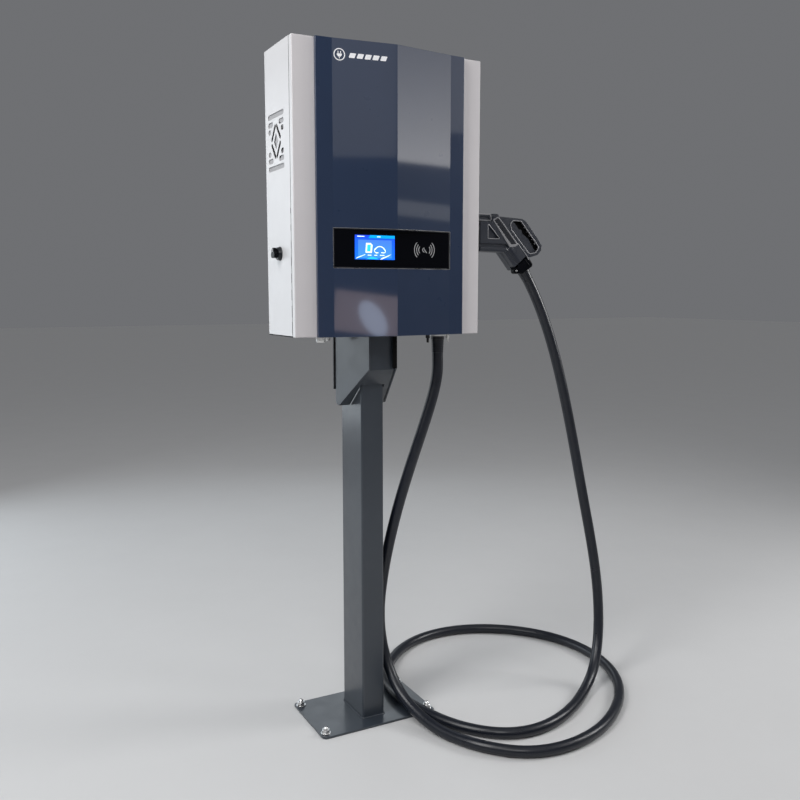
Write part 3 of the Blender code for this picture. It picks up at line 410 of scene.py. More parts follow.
def stadium(across, up, length, width, angle=0.0):
    """A straight slot with round ends."""
    steps = 6
    radius = width / 2
    reach = length / 2 - radius
    points = []
    for end in (0, 1):
        for step in range(steps + 1):
            turn = pi * (end + step / steps) - pi / 2
            along, aside = polar(reach * (1 - 2 * end), 0.0, radius, turn)
            points.append(swung(across, up, along, aside, angle))
    return points


def arc(across, up, radius, width, start, end, steps=14):
    """A bent bar: part of a ring, from one angle to another in degrees."""
    turns = [radians(start + (end - start) * step / steps) for step in range(steps + 1)]
    outer = [polar(across, up, radius + width / 2, turn) for turn in turns]
    return outer + [polar(across, up, radius - width / 2, turn) for turn in reversed(turns)]


def plate(loops, plane, low, high, edge=0.0004, steps=1):
    """A flat shape with its holes, with thickness from low to high and softened edges."""
    edge = min(edge, (high - low) * 0.45)
    curve = bpy.data.curves.new("drawing", "CURVE")
    curve.dimensions = "2D"
    curve.fill_mode = "BOTH"
    curve.extrude = (high - low) / 2 - edge
    curve.bevel_depth = edge
    curve.bevel_resolution = steps
    curve.offset = -edge
    for loop in loops:
        spline = curve.splines.new("POLY")
        spline.points.add(len(loop) - 1)
        spline.use_cyclic_u = True
        for point, (across, up) in zip(spline.points, loop):
            point.co = (across, up, 0.0, 1.0)
    guide = placed("drawing", curve)
    guide.matrix_world = Matrix.Translation(NORMALS[plane] * (low + high) / 2) @ TURNS[plane]
    mesh = welded(evaluated(guide))
    bpy.data.curves.remove(curve)
    return mesh


def solid(*profile):
    """An outline for a turned shape, closed onto its axis at both ends."""
    return [(0.0, profile[0][1]), *profile, (0.0, profile[-1][1])]


def turned(profile, base, direction=(0, 0, 1), sides=40):
    """A turned shape: (radius, height) pairs swung about an axis, closed if they are a ring."""
    form = bmesh.new()
    rings = []
    for radius, height in profile:
        if radius < 1e-6:
            rings.append([form.verts.new((0.0, 0.0, height))])
            continue
        points = circle(0.0, 0.0, radius, sides)
        rings.append([form.verts.new((*point, height)) for point in points])
    pairs = list(zip(rings, rings[1:]))
    if profile[0][0] > 1e-6 and profile[-1][0] > 1e-6:
        pairs.append((rings[-1], rings[0]))
    for first, second in pairs:
        for step in range(sides):
            after = (step + 1) % sides
            if len(first) == 1:
                corners = [first[0], second[step], second[after]]
            elif len(second) == 1:
                corners = [first[step], second[0], first[after]]
            else:
                corners = [first[step], second[step], second[after], first[after]]
            form.faces.new(corners)
    turn = Vector(direction).to_track_quat("Z", "Y").to_matrix().to_4x4()
    form.transform(Matrix.Translation(Vector(base)) @ turn)
    return welded(meshed(form))


def tube(points, radius, sides=16, closed=False):
    """A round tube along points, or a ring when closed."""
    points = [Vector(point) for point in points]
    count = len(points)
    form = bmesh.new()
    rings = []
    tangent = (points[1] - (points[-1] if closed else points[0])).normalized()
    aside = tangent.orthogonal().normalized()
    for index, point in enumerate(points):
        if closed:
            tangent = (points[(index + 1) % count] - points[index - 1]).normalized()
        else:
            ahead = points[min(index + 1, count - 1)]
            tangent = (ahead - points[max(index - 1, 0)]).normalized()
        aside = (aside - tangent * aside.dot(tangent)).normalized()
        other = tangent.cross(aside)
        spokes = [aside * cos(turn) + other * sin(turn) for turn in whole_turn(sides)]
        rings.append([form.verts.new(point + spoke * radius) for spoke in spokes])
    pairs = list(zip(rings, rings[1:]))
    if closed:
        pairs.append((rings[-1], rings[0]))
    for first, second in pairs:
        for step in range(sides):
            after = (step + 1) % sides
            form.faces.new([first[step], first[after], second[after], second[step]])
    if not closed:
        form.faces.new(rings[0][::-1])
        form.faces.new(rings[-1])
    return meshed(form) if closed else welded(meshed(form))


def block(low, high, edge=0.0005):
    """A box between two corners with softened edges."""
    return plate([rectangle(*low[:2], *high[:2])], "XY", low[2], high[2], edge)


def carved(mesh, *tools, operation="DIFFERENCE"):
    """The mesh with the tools' meshes taken away, or joined or intersected."""
    body = placed("body", mesh)
    helpers = []
    for tool in tools:
        helper = placed("tool", tool)
        helper.hide_render = True
        helpers.append(helper)
        change = body.modifiers.new("change", "BOOLEAN")
        change.operation = operation
        change.solver = "EXACT"
        change.object = helper
    result = evaluated(body)
    for helper in helpers:
        bpy.data.objects.remove(helper, do_unlink=True)
    return result


def gathered(*meshes):
    """Several meshes as one."""
    form = bmesh.new()
    for mesh in meshes:
        form.from_mesh(mesh)
    return meshed(form)


def smooth_group(name, angle):
    """A modifier that shades edges below an angle smooth and leaves the others sharp."""
    group = bpy.data.node_groups.new(name, "GeometryNodeTree")
    group.is_modifier = True
    for way in ("INPUT", "OUTPUT"):
        group.interface.new_socket("Geometry", in_out=way, socket_type="NodeSocketGeometry")
    start, bend, small, faces, edges, end = [
        group.nodes.new(kind)
        for kind in (
            "NodeGroupInput", "GeometryNodeInputMeshEdgeAngle", "FunctionNodeCompare",
            "GeometryNodeSetShadeSmooth", "GeometryNodeSetShadeSmooth", "NodeGroupOutput",
        )
    ]
    small.operation = "LESS_THAN"
    small.inputs[1].default_value = angle
    edges.domain = "EDGE"
    group.links.new(bend.outputs[0], small.inputs[0])
    group.links.new(small.outputs[0], edges.inputs["Shade Smooth"])
    for first, second in ((start, faces), (faces, edges), (edges, end)):
        group.links.new(first.outputs[0], second.inputs[0])
    return group


SMOOTH = smooth_group("smooth_edges", radians(34))
CREASED = smooth_group("creased_edges", radians(1.5))


def add_smoothing(item, group=SMOOTH):
    """Smooth shading with even normals."""
    shade = item.modifiers.new("shading", "NODES")
    shade.node_group = group
    even = item.modifiers.new("normals", "WEIGHTED_NORMAL")
    even.keep_sharp = True


def piece(name, mesh, finish, body="root", replaces=()):
    """A new piece that rides on a body and may stand for CAD nodes."""
    item = placed(name, mesh)
    mesh.name = name
    mesh.materials.clear()
    mesh.materials.append(finish)
    add_smoothing(item)
    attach(item, body)
    if replaces:
        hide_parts(*replaces)
    return item


def dress(finish, *names, edge=0.0004, group=SMOOTH):
    """Finish for CAD nodes that are shown as they are, with softened edges."""
    for name in names:
        node = NODES[name]
        node.data.materials.clear()
        node.data.materials.append(finish)
        if "custom_normal" in node.data.attributes:
            node.data.attributes.remove(node.data.attributes["custom_normal"])
        weld = node.modifiers.new("weld", "WELD")
        weld.merge_threshold = 0.00001
        flat = node.modifiers.new("flat", "DECIMATE")
        flat.decimate_type = "DISSOLVE"
        flat.angle_limit = radians(1.0)
        if edge:
            soft = node.modifiers.new("edges", "BEVEL")
            soft.width = edge
            soft.segments = 2
            soft.limit_method = "ANGLE"
            soft.angle_limit = radians(28)
        add_smoothing(node, group)


# ---- cable
def cable_line(spacing):
    """Points along the smooth curve through the cable's route, and the curve's length."""
    points = np.array(CABLE_ROUTE)
    steps = np.sqrt(np.linalg.norm(np.diff(points, axis=0), axis=1))
    count = len(points)
    matrix = np.eye(count)
    right = np.zeros((count, 3))
    right[0] = np.array((0.0, 0.0, -1.0)) * steps[0]
    right[-1] = -np.array(CABLE_AXIS) * steps[-1]
    for index in range(1, count - 1):
        before = steps[index - 1]
        after = steps[index]
        matrix[index, index - 1 : index + 2] = (after, 2 * (before + after), before)
        rise_before = (points[index] - points[index - 1]) / before
        rise_after = (points[index + 1] - points[index]) / after
        right[index] = 3 * (after * rise_before + before * rise_after)
    slopes = np.linalg.solve(matrix, right)
    dense = []
    for index, step in enumerate(steps):
        for part in np.linspace(0.0, 1.0, 30, endpoint=False):
            square = part * part
            cube = square * part
            dense.append(
                (2 * cube - 3 * square + 1) * points[index]
                + (cube - 2 * square + part) * step * slopes[index]
                + (3 * square - 2 * cube) * points[index + 1]
                + (cube - square) * step * slopes[index + 1]
            )
    dense = np.array(dense + [points[-1]])
    travelled = np.linalg.norm(np.diff(dense, axis=0), axis=1).cumsum()
    travelled = np.insert(travelled, 0, 0.0)
    wanted = np.linspace(0.0, travelled[-1], round(travelled[-1] / spacing) + 1)
    line = np.stack([np.interp(wanted, travelled, dense[:, axis]) for axis in range(3)], axis=1)
    return [tuple(float(part) for part in point) for point in line], float(travelled[-1])


line, cable_length = cable_line(0.011)
cable = placed("charging_cable", tube(line, CABLE_RADIUS, 24))
cable.data.materials.append(RUBBER)
add_smoothing(cable)
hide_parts("charge_cable")
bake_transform(cable)


# ---- stand
def anchor_bolt(name, x, y, node, tilt):
    """Washer, chamfered hex nut and the threaded end of the stud."""
    washer = turned(
        [(0.0062, 0.0063), (0.013, 0.0063), (0.0135, 0.0068), (0.0135, 0.0083), (0.013, 0.0088),
         (0.0062, 0.0088)], (x, y, 0.0),
    )
    prism = plate([circle(x, y, 0.0112, 6, tilt)], "XY", 0.0089, 0.0178, 0.0002)
    crown = solid((0.011, 0.008), (0.0116, 0.0092), (0.0116, 0.0156), (0.0096, 0.018))
    nut = carved(prism, turned(crown, (x, y, 0.0)), operation="INTERSECT")
    profile = [(0.0, 0.0064)]
    height = 0.0064
    while height < 0.0215:
        wide = 0.0078 - 0.42 * max(0.0, height - 0.017)
        profile += [(wide - 0.0005, height), (wide, height + 0.0006)]
        height += 0.0013
    profile += [(0.0055, 0.0224), (0.004, 0.0245), (0.0026, 0.0254), (0.0, 0.0255)]
    stud = turned(profile, (x, y, 0.0), sides=24)
    piece(name, gathered(washer, nut, stud), ZINC, replaces=(node,))


ANCHOR_X = 0.156
ANCHOR_Y = 0.09
floor_plate = [rectangle(-0.172, -0.1125, 0.172, 0.1125, 0.014, 8)]
for label, x in (("left", -ANCHOR_X), ("right", ANCHOR_X)):
    for depth, y in (("front", -ANCHOR_Y), ("rear", ANCHOR_Y)):
        anchor_bolt(f"anchor_{depth}_{label}", x, y, f"anchor_bolt_{depth}_{label}", x * 9 + y * 5)
        floor_plate.append(circle(x, y, 0.0068))
piece("floor_plate", plate(floor_plate, "XY", 0.0, 0.006, 0.0009, 2), POST_PAINT,
      replaces=("base_plate",))

post_outer = rectangle(-0.033, -0.065, 0.033, 0.065, 0.006, 8)
post_inner = rectangle(-0.03, -0.062, 0.03, 0.062, 0.003)
post = plate([post_outer, post_inner], "XY", 0.0063, 1.06, 0.0003)
entry = plate([stadium(0.0, 0.08, 0.07, 0.024, pi / 2)], "XZ", 0.055, 0.075, 0.0001)
piece("post", carved(post, entry), POST_PAINT, replaces=("post_tube",))
piece("post_lid", plate([post_outer], "XY", 1.0603, 1.0643, 0.0008), POST_PAINT,
      replaces=("post_cap",))
bead = rectangle(-0.0345, -0.0665, 0.0345, 0.0665, 0.008, 8)
bead_line = []
for first, second in zip(bead, bead[1:] + bead[:1]):
    gap = math.dist(first, second)
    parts = max(1, round(gap / 0.002))
    for step in range(parts):
        share = step / parts
        bead_line.append(
            (first[0] + (second[0] - first[0]) * share, first[1] + (second[1] - first[1]) * share)
        )
weld = tube([(x, y, 0.0068) for x, y in bead_line], 0.0019, 10, closed=True)
for index, vertex in enumerate(weld.vertices):
    vertex.co.z += 0.0003 * sin(index / 10 * 2.1)
piece("post_weld", weld, WELD)


def cheek(name, side, node):
    """Splayed side plate of the head."""
    rear = Vector((side * 0.0737, 0.0128, 0.0))
    front = Vector((side * 0.0406, -0.1286, 0.0))
    along = front - rear
    tail = [(0.001, 0.8669), (along.length, 0.9853), (along.length, 1.0694)]
    loop = [(0.001, 1.0694)] + rounded([(0.001, 1.0694)] + tail, 0.012, 6)[7:14] + tail[1:]
    shape = plate([loop], "XZ", -0.002, 0.002, 0.0009, 2)
    inward = Vector((-side * abs(along.y), abs(along.x), 0.0)).normalized()
    turn = Matrix.Rotation(math.atan2(along.y, along.x), 4, "Z")
    shape.transform(Matrix.Translation(rear + inward * 0.002) @ turn)
    piece(name, shape, POST_PAINT, replaces=(node,))


cheek("left_cheek", -1, "head_cheek_left")
cheek("right_cheek", 1, "head_cheek_right")
dress(POST_PAINT, "head_front", "head_seat_plate", edge=0.0007)
dress(BLACK_STEEL, "mount_plate", "spine_tube", edge=0.0007)
# Deep black strip on the right end of the head's front: painted shade for the shadowed gap beside
# the right cheek.
shade_strip = rectangle(0.0275, 0.986, 0.0405, 1.069)
piece("head_shade_strip", plate([shade_strip], "XZ", -0.1292, -0.1284, 0.0002), DEEP_BLACK)
dress(ZINC, "hanging_rail", edge=0.0005)


# ---- cabinet
SIDE_X = 0.26
VENT_Y = -0.066
VENT_Z = 1.548
SWITCH = (-0.2603, -0.0826, 1.277)


def vent_openings():
    """Long bars, short bars and the diamond of slots."""
    loops = []
    bars = ((0.11, 0.0625, 0.0), (0.034, 0.0435, 0.037), (0.02, 0.027, 0.044))
    for length, rise, offset in bars:
        for up in (-rise, rise):
            for aside in sorted({-offset, offset}):
                loops.append(stadium(VENT_Y + aside, VENT_Z + up, length, 0.012))
    angle = math.atan2(0.043, 0.034)
    length = math.hypot(0.034, 0.043) * 0.86
    for aside in (-1, 1):
        for up in (-1, 1):
            across = VENT_Y + aside * 0.017
            height = VENT_Z + up * 0.0215
            loops.append(stadium(across, height, length, 0.01, -aside * up * angle))
    core = [(0.015, 0.0), (0.0, 0.02), (-0.015, 0.0), (0.0, -0.02)]
    loops.append(rounded(moved(core, VENT_Y, VENT_Z), 0.001))
    return loops


def side_panel(name, side, node):
    """Side sheet with punched vents, the filter behind them and the dark seam round its edge."""

    def sheet(loops, inner, outer, edge):
        low, high = sorted((side * inner, side * outer))
        return plate(loops, "YZ", low, high, edge)

    loops = [rectangle(-0.158, 1.0768, 0.008, 1.774, 0.0015)] + vent_openings()
    if side < 0:
        loops.append(circle(*SWITCH[1:], 0.007))
    piece(name, sheet(loops, 0.2585, SIDE_X, 0.0004), SIDE_PAINT, replaces=(node,))
    opening = rectangle(VENT_Y - 0.058, VENT_Z - 0.071, VENT_Y + 0.058, VENT_Z + 0.071, 0.004)
    core = moved([(-0.012, 0.0), (0.0, 0.0165), (0.012, 0.0), (0.0, -0.0165)], VENT_Y, VENT_Z)
    ring = sheet([opening, circle(-0.071, VENT_Z, 0.0462, 48)], 0.2567, 0.2579, 0.0002)
    middle = sheet([rounded(core, 0.002, 3)], 0.2567, 0.2579, 0.0002)
    piece(name + "_filter", gathered(ring, middle), FILTER)
    seam = [rectangle(-0.1604, 1.0772, -0.1582, 1.773), rectangle(-0.1604, 1.0744, 0.006, 1.0772)]
    for index in range(8):
        foot = 1.082 + 0.041 * index
        seam.append(rectangle(-0.1582, foot, -0.1568, foot + 0.03 - 0.0025 * index))
    seals = [sheet([loop], 0.259, 0.26015, 0.0002) for loop in seam]
    piece(name + "_seal", gathered(*seals), DEEP_BLACK)


side_panel("left_side", -1, "side_panel_left")
side_panel("right_side", 1, "side_panel_right")
dress(COVER_PAINT, "body_tray", edge=0.0005)


def dished(half, front, rear, low, high, radius):
    """A block whose front edges and corners are rounded."""
    form = bmesh.new()
    bmesh.ops.create_cube(form, size=1.0)
    size = Vector((2 * half, rear - front, high - low))
    middle = Vector((0.0, (front + rear) / 2, (low + high) / 2))
    form.transform(Matrix.Translation(middle) @ Matrix.Diagonal((*size, 1.0)))
    edges = [e for e in form.edges if min(v.co.y for v in e.verts) < front + 1e-5]
    bmesh.ops.bevel(form, geom=edges, offset=radius, segments=4, affect="EDGES", profile=0.5)
    return welded(meshed(form))


cover = dished(SIDE_X, -0.176, -0.1605, 1.074, 1.774, 0.0026)
hollow = dished(0.2585, -0.1745, -0.15, 1.0755, 1.7725, 0.0012)
window = block((-0.15, -0.19, 1.248), (0.15, -0.15, 1.33), 0.0001)
door = piece("front_door", carved(cover, hollow, window), COVER_PAINT, replaces=("front_cover",))
door.data.materials.append(SIDE_PAINT)
for polygon in door.data.polygons:
    polygon.material_index = int(abs(polygon.normal.x) > 0.8)
dress(NAVY_PAINT, "fascia", edge=0.0006, group=CREASED)


CREASE_X = 0.163


def facet(x):
    """Y of the navy front's outer face at x."""
    x = abs(x)
    if x < CREASE_X:
        return -0.209 + 0.021 * x / CREASE_X
    return -0.188 + 0.0017 * (x - CREASE_X) / 0.041


def laid_on_front(mesh):
    """The mesh moved from Y = 0 onto the navy front."""
    for vertex in mesh.vertices:
        vertex.co.y += facet(vertex.co.x)
    return mesh


def plug_mark():
    """Generic sign: a plug in a ring and a row of battery bars."""
    x, z = -0.145, 1.7375
    head = [(-0.0062, 0.002), (0.0062, 0.002), (0.0062, -0.001), (0.003, -0.0052),
            (-0.003, -0.0052), (-0.0062, -0.001)]
    shapes = [[circle(x, z, 0.014, 48), circle(x, z, 0.0118, 48)]]
    shapes.append([rounded(moved(head, x, z), 0.0012)])
    for aside in (-0.0031, 0.0031):
        left = x + aside - 0.001
        shapes.append([rectangle(left, z + 0.0026, x + aside + 0.001, z + 0.0076, 0.0004)])
    shapes.append([rectangle(x - 0.0009, z - 0.0094, x + 0.0009, z - 0.0058, 0.0004)])
    bar = [(0.0, -0.0055), (0.0145, -0.0055), (0.019, 0.0055), (0.0045, 0.0055)]
    for step in range(5):
        shapes.append([rounded(moved(bar, -0.1225 + step * 0.0195, z), 0.0012)])
    return laid_on_front(gathered(*[plate(s, "XZ", -0.0003, 0.0002, 0.0001) for s in shapes]))


piece("front_mark", plug_mark(), PRINT_WHITE)

# Display
dress(BLACK_PLASTIC, "display_bezel", edge=0.0003)
dress(WINDOW_GLASS, "display_glass", edge=0.0004)
dress(BLACK_PLASTIC, "lcd_module", edge=0.0003)
dress(BOARD, "card_reader", edge=0.0003)
RIM_X = 0.1638
rim = []
for z in (1.2411, 1.3369):
    for first, second in ((-RIM_X, 0.0), (0.0, RIM_X)):
        rim.append(rectangle(first, z - 0.0002, second, z + 0.00035))
for x in (-RIM_X, RIM_X):
    rim.append(rectangle(x - 0.0002, 1.2412, x + 0.0002, 1.3368))
rim = [plate([loop], "XZ", -0.0001, 0.0014, 0.0001) for loop in rim]
piece("window_edge", laid_on_front(gathered(*rim)), BARE_EDGE)

GLASS = -0.1885


def printed(name, shapes, level, finish):
    """Flat shapes on the glass, each a list of loops."""
    front = GLASS - level * 0.00012
    meshes = [plate(loops, "XZ", front - 0.0001, front + 0.00012, 0.00003) for loops in shapes]
    piece(name, gathered(*meshes), finish)


LEFT = -0.107
RIGHT = 0.0024
HEADER_LOW = 1.315
HEADER_HIGH = 1.322
header = [(LEFT + 0.037, HEADER_LOW), (RIGHT, HEADER_LOW), (RIGHT, HEADER_HIGH),
          (LEFT + 0.042, HEADER_HIGH)]
tab = [(LEFT, HEADER_LOW), (LEFT + 0.033, HEADER_LOW), (LEFT + 0.038, HEADER_HIGH),
       (LEFT, HEADER_HIGH)]
printed("lcd_field", [[rectangle(LEFT, 1.263, RIGHT, HEADER_HIGH)]], 1, LCD_BLUE)
printed("lcd_panel", [[rectangle(LEFT + 0.0085, 1.2665, RIGHT - 0.0085, 1.3105)]], 2, LCD_PANEL)
printed("lcd_header", [[header]], 2, LCD_HEADER)
printed("lcd_tab", [[tab]], 2, LCD_DARK)
pump_x = LEFT + 0.0385
pump = [(-0.01, 1.279), (0.0075, 1.279), (0.0095, 1.2985), (0.004, 1.303), (-0.0085, 1.303)]
gauge = [(-0.006, 1.2825), (0.0035, 1.2825), (0.005, 1.299), (-0.005, 1.299)]
gauge = rounded(moved(gauge, pump_x, 0.0), 0.001)
car_x = LEFT + 0.068
low_swoosh = [(0.002, 1.264), (0.008, 1.2665), (0.026, 1.2735), (0.0285, 1.276),
              (0.02, 1.2728), (0.006, 1.2682)]
high_swoosh = [(-0.041, 1.2632), (-0.034, 1.2645), (-0.016, 1.272), (-0.0095, 1.2768),
               (-0.02, 1.2728), (-0.036, 1.2672)]
icons = [
    [rounded(moved(pump, pump_x, 0.0), 0.0015), gauge],
    [arc(car_x, 1.28, 0.015, 0.0024, 25, 150)],
    [arc(car_x - 0.0098, 1.285, 0.0052, 0.0018, 110, 290)],
    [arc(car_x + 0.0105, 1.284, 0.0048, 0.0018, -70, 80)],
    [stadium(car_x - 0.0075, 1.2795, 0.0075, 0.0024, 0.1)],
    [stadium(car_x + 0.008, 1.28, 0.009, 0.0024, -0.1)],
]
for start, length, z in (
    (0.034, 0.011, 1.2735), (0.052, 0.009, 1.2735), (0.068, 0.013, 1.2735),
    (0.006, 0.02, 1.3185), (0.06, 0.01, 1.3185),
):
    icons.append([stadium(LEFT + start + length / 2, z, length, 0.002)])
icons += [[moved(low_swoosh, LEFT, 0.0)], [moved(high_swoosh, RIGHT, 0.0)]]
printed("lcd_icons", icons, 3, LCD_WHITE)
road = [(LEFT + 0.03, 1.264), (RIGHT - 0.045, 1.264), (RIGHT - 0.05, 1.2668),
        (LEFT + 0.045, 1.27)]
printed("lcd_accents", [[gauge], [road]], 3, LCD_CYAN)

SIGN_X = 0.0877
SIGN_Z = 1.2895
waves = []
for radius, reach in ((0.0135, 38), (0.0195, 42), (0.026, 45)):
    waves.append([arc(SIGN_X - 0.003, SIGN_Z, radius, 0.0017, 180 - reach, 180 + reach, 20)])
    waves.append([arc(SIGN_X + 0.003, SIGN_Z, radius, 0.0017, -reach, reach, 20)])
waves.append([arc(SIGN_X, SIGN_Z, 0.0052, 0.0017, 90, 270, 12)])
waves.append([stadium(SIGN_X + 0.0024, 1.288, 0.015, 0.0018, radians(-55))])
waves.append([stadium(SIGN_X - 0.0006, 1.291, 0.01, 0.0018, radians(-55))])
printed("contactless_sign", waves, 1, PRINT_GREY)

# Inside and fans
for side in ("left", "right"):
    dress(BLACK_PLASTIC, "fan_frame_" + side, "fan_rotor_" + side, edge=0.0004)
    dress(ALUMINIUM, "power_module_" + side, edge=0.0004)
dress(ZINC, "mounting_plate", edge=0.0003)
dress(BOARD, "control_board", edge=0.0)
dress(BLACK_PLASTIC, "main_breaker", "breaker_toggle", "output_contactor", "terminal_block")
dress(COPPER, "busbar_positive", "busbar_negative", edge=0.0003)


# ---- underside and switch
def hexagon_nut(x, y, low, high, radius, tilt=0.3):
    """A six-sided nut with turned chamfers."""
    wide = radius * 1.01
    crown = solid((radius * 0.9, low - 0.0005), (wide, low + 0.0012), (wide, high + 0.001))
    prism = plate([circle(x, y, radius, 6, tilt)], "XY", low, high, 0.0002)
    return carved(prism, turned(crown, (x, y, 0.0)), operation="INTERSECT")


TRAY_Z = 1.0737


def supply_gland(name, x, y, neck, radius, node):
    """Hex body, domed nut and bore of a cable gland."""
    dome = turned(
        [(neck * 0.55, 1.0562), (radius * 0.62, 1.056), (radius * 0.78, 1.0572),
         (radius * 0.86, 1.06), (radius * 0.88, 1.064), (neck * 0.55, 1.064)],
        (x, y, 0.0),
    )
    nut = hexagon_nut(x, y, TRAY_Z - 0.01, TRAY_Z, radius)
    piece(name, gathered(nut, dome), NICKEL, replaces=(node,))
    seal = turned(
        [(0.0, 1.057), (neck * 0.52, 1.0566), (neck * 0.52, 1.06), (0.0, 1.06)],
        (x, y, 0.0), sides=24,
    )
    piece(name + "_seal", seal, RUBBER)


supply_gland("large_gland", -0.157, -0.088, 0.01, 0.014, "supply_gland_large")
supply_gland("small_gland", -0.112, -0.02, 0.008, 0.011, "supply_gland_small")

OUT = (0.187, -0.088, 0.0)
flange = turned(
    [(0.0156, 1.0657), (0.0225, 1.0657), (0.023, 1.0662), (0.023, 1.0732), (0.0225, TRAY_Z),
     (0.0156, TRAY_Z)], OUT, sides=48,
)
grip = [polar(*OUT[:2], 0.0176 + 0.0003 * cos(24 * turn), turn) for turn in whole_turn(96)]
collar = plate([grip, circle(*OUT[:2], 0.0158)], "XY", 1.056, 1.0656, 0.0006)
piece("output_flange", flange, NICKEL, replaces=("output_gland",))
piece("output_collar", collar, BLACK_PLASTIC)
sleeve_profile = [(0.0151, 1.0206), (0.0156, 1.0206)]
for step in range(7):
    low = 1.0215 + step * 0.0046
    radius = 0.0157 + 0.0012 * step / 6
    groove = radius - 0.0004
    sleeve_profile += [(radius, low), (radius + 0.0001, low + 0.0028), (groove, low + 0.0034),
                       (groove, low + 0.0041)]
sleeve_profile += [(0.017, 1.054), (0.017, 1.0556), (0.0151, 1.0556)]
sleeve = turned(sleeve_profile, OUT, sides=48)
piece("output_sleeve", sleeve, RUBBER, replaces=("cable_sleeve",))
for label, side, finish in (("left", -1, BLACK_STEEL), ("right", 1, NICKEL)):
    base = (OUT[0] + side * 0.031, OUT[1], 0.0)
    head = hexagon_nut(*base[:2], 1.06, 1.069, 0.0062, 0.1 * side)
    ring = turned(
        [(0.003, 1.0692), (0.0064, 1.0692), (0.0064, TRAY_Z), (0.003, TRAY_Z)], base, sides=24
    )
    thread = [(0.0, 1.048), (0.003, 1.048)]
    for turn in range(12):
        thread += [(0.0036, 1.0486 + turn * 0.0011), (0.0031, 1.0491 + turn * 0.0011)]
    tip = turned(thread + [(0.0, 1.0625)], base, sides=20)
    piece("clamp_screw_" + label, gathered(head, ring, tip), finish,
          replaces=("clamp_bolt_" + label,))

LEFTWARD = (-1, 0, 0)
bezel = turned(
    [(0.0062, 0.0), (0.017, 0.0), (0.017, 0.0016), (0.0164, 0.0024), (0.0158, 0.006),
     (0.015, 0.008), (0.0138, 0.0087), (0.0118, 0.0087), (0.0114, 0.0078), (0.0062, 0.0078)],
    SWITCH, LEFTWARD, 48,
)
piece("switch_collar", bezel, BLACK_PLASTIC, replaces=("switch_bezel",))
lobes = [
    polar(*SWITCH[1:], 0.0122 + 0.0021 * cos(3 * (turn - pi / 2)), turn) for turn in whole_turn(72)
]
knob = plate([lobes], "YZ", -0.28, -0.27, 0.0016, 3)
foot = turned(solid((0.0108, 0.0002), (0.0108, 0.003)), (-0.269, *SWITCH[1:]), LEFTWARD)
shaft = turned(solid((0.0056, 0.0), (0.0056, 0.0195)), (-0.2505, *SWITCH[1:]), LEFTWARD, 24)
piece("switch_handle", gathered(knob, foot, shaft), GLOSS_BLACK, "switch", ("switch_knob",))
line_mark = plate([stadium(SWITCH[1], SWITCH[2] + 0.0075, 0.008, 0.0014, pi / 2)], "YZ",
                  -0.28015, -0.2799, 0.00005)
piece("switch_pointer", line_mark, PRINT_WHITE, "switch")


# ---- connector
GAP_LOOP = [
    (0.4185, 1.38), (0.4268, 1.371), (0.4367, 1.3587), (0.4476, 1.356), (0.4507, 1.3465),
    (0.4618, 1.339), (0.4709, 1.333), (0.4771, 1.3235), (0.4833, 1.3157), (0.4895, 1.3062),
    (0.4975, 1.2985), (0.506, 1.305), (0.5068, 1.3117), (0.451, 1.38),
]
CASING = [
    (0.3062, 1.295), (0.3062, 1.3762), (0.344, 1.3762), (0.352, 1.3895), (0.374, 1.391),
    (0.448, 1.3875), (0.4615, 1.3815), (0.5052, 1.3325), (0.518, 1.315), (0.5155, 1.3012),
    (0.5035, 1.288), (0.4775, 1.281), (0.464, 1.2818), (0.4361, 1.2604), (0.4262, 1.2527),
    (0.3902, 1.2937),
]
BLOCK = [
    (0.3068, 1.316), (0.3068, 1.3757), (0.3445, 1.3757), (0.3522, 1.3888), (0.364, 1.39),
    (0.37, 1.3868), (0.4348, 1.3173), (0.424, 1.309), (0.406, 1.306), (0.393, 1.316),
]
POCKET = [(0.3345, 1.369), (0.332, 1.3665), (0.3326, 1.33), (0.3725, 1.3297)]
LOWER_BLOCK = [
    (0.3068, 1.2955), (0.3068, 1.3075), (0.396, 1.3075), (0.404, 1.2975), (0.3905, 1.2942),
]
GUARD = [
    (0.372, 1.3903), (0.4475, 1.387), (0.461, 1.381), (0.5045, 1.3322), (0.5172, 1.3148),
    (0.515, 1.3016), (0.503, 1.2885), (0.4775, 1.2815), (0.465, 1.2825), (0.4355, 1.3172),
    (0.372, 1.3848),
]
RECESS = [
    (0.4158, 1.3813), (0.4073, 1.3716), (0.4106, 1.356), (0.469, 1.2943), (0.4771, 1.2913),
    (0.495, 1.2949), (0.5067, 1.3097), (0.4432, 1.3808),
]
FRAME_OUTER = [
    (0.348, 1.38), (0.3618, 1.3893), (0.3695, 1.3872), (0.4349, 1.3157), (0.4233, 1.3095),
    (0.4048, 1.308),
]
FRAME_INNER = [(0.352, 1.3797), (0.3636, 1.3857), (0.3672, 1.3845), (0.4272, 1.3178), (0.41, 1.315)]
FAR_CASING = CASING[:14] + [(0.435, 1.242)] + CASING[15:]
POCKET_DEPTH = 0.026
LIP_DEPTH = 0.0256
ALONG_Y = (0, 1, 0)


def gun_layer(loops, side, near, far, edge, radius=0.0015):
    """A plate of the connector's casing between two distances from its middle plane."""
    low, high = sorted((GUN_Y + side * near, GUN_Y + side * far))
    return plate([rounded(loop, radius, 3) for loop in loops], "XZ", low, high, edge, 3)


def gun_bar(loops, reach, edge, steps=1):
    """A plate of the connector that reaches equally far to both sides of its middle plane."""
    return plate(loops, "XZ", GUN_Y - reach, GUN_Y + reach, edge, steps)


recess_loop = rounded(RECESS, 0.004, 4)


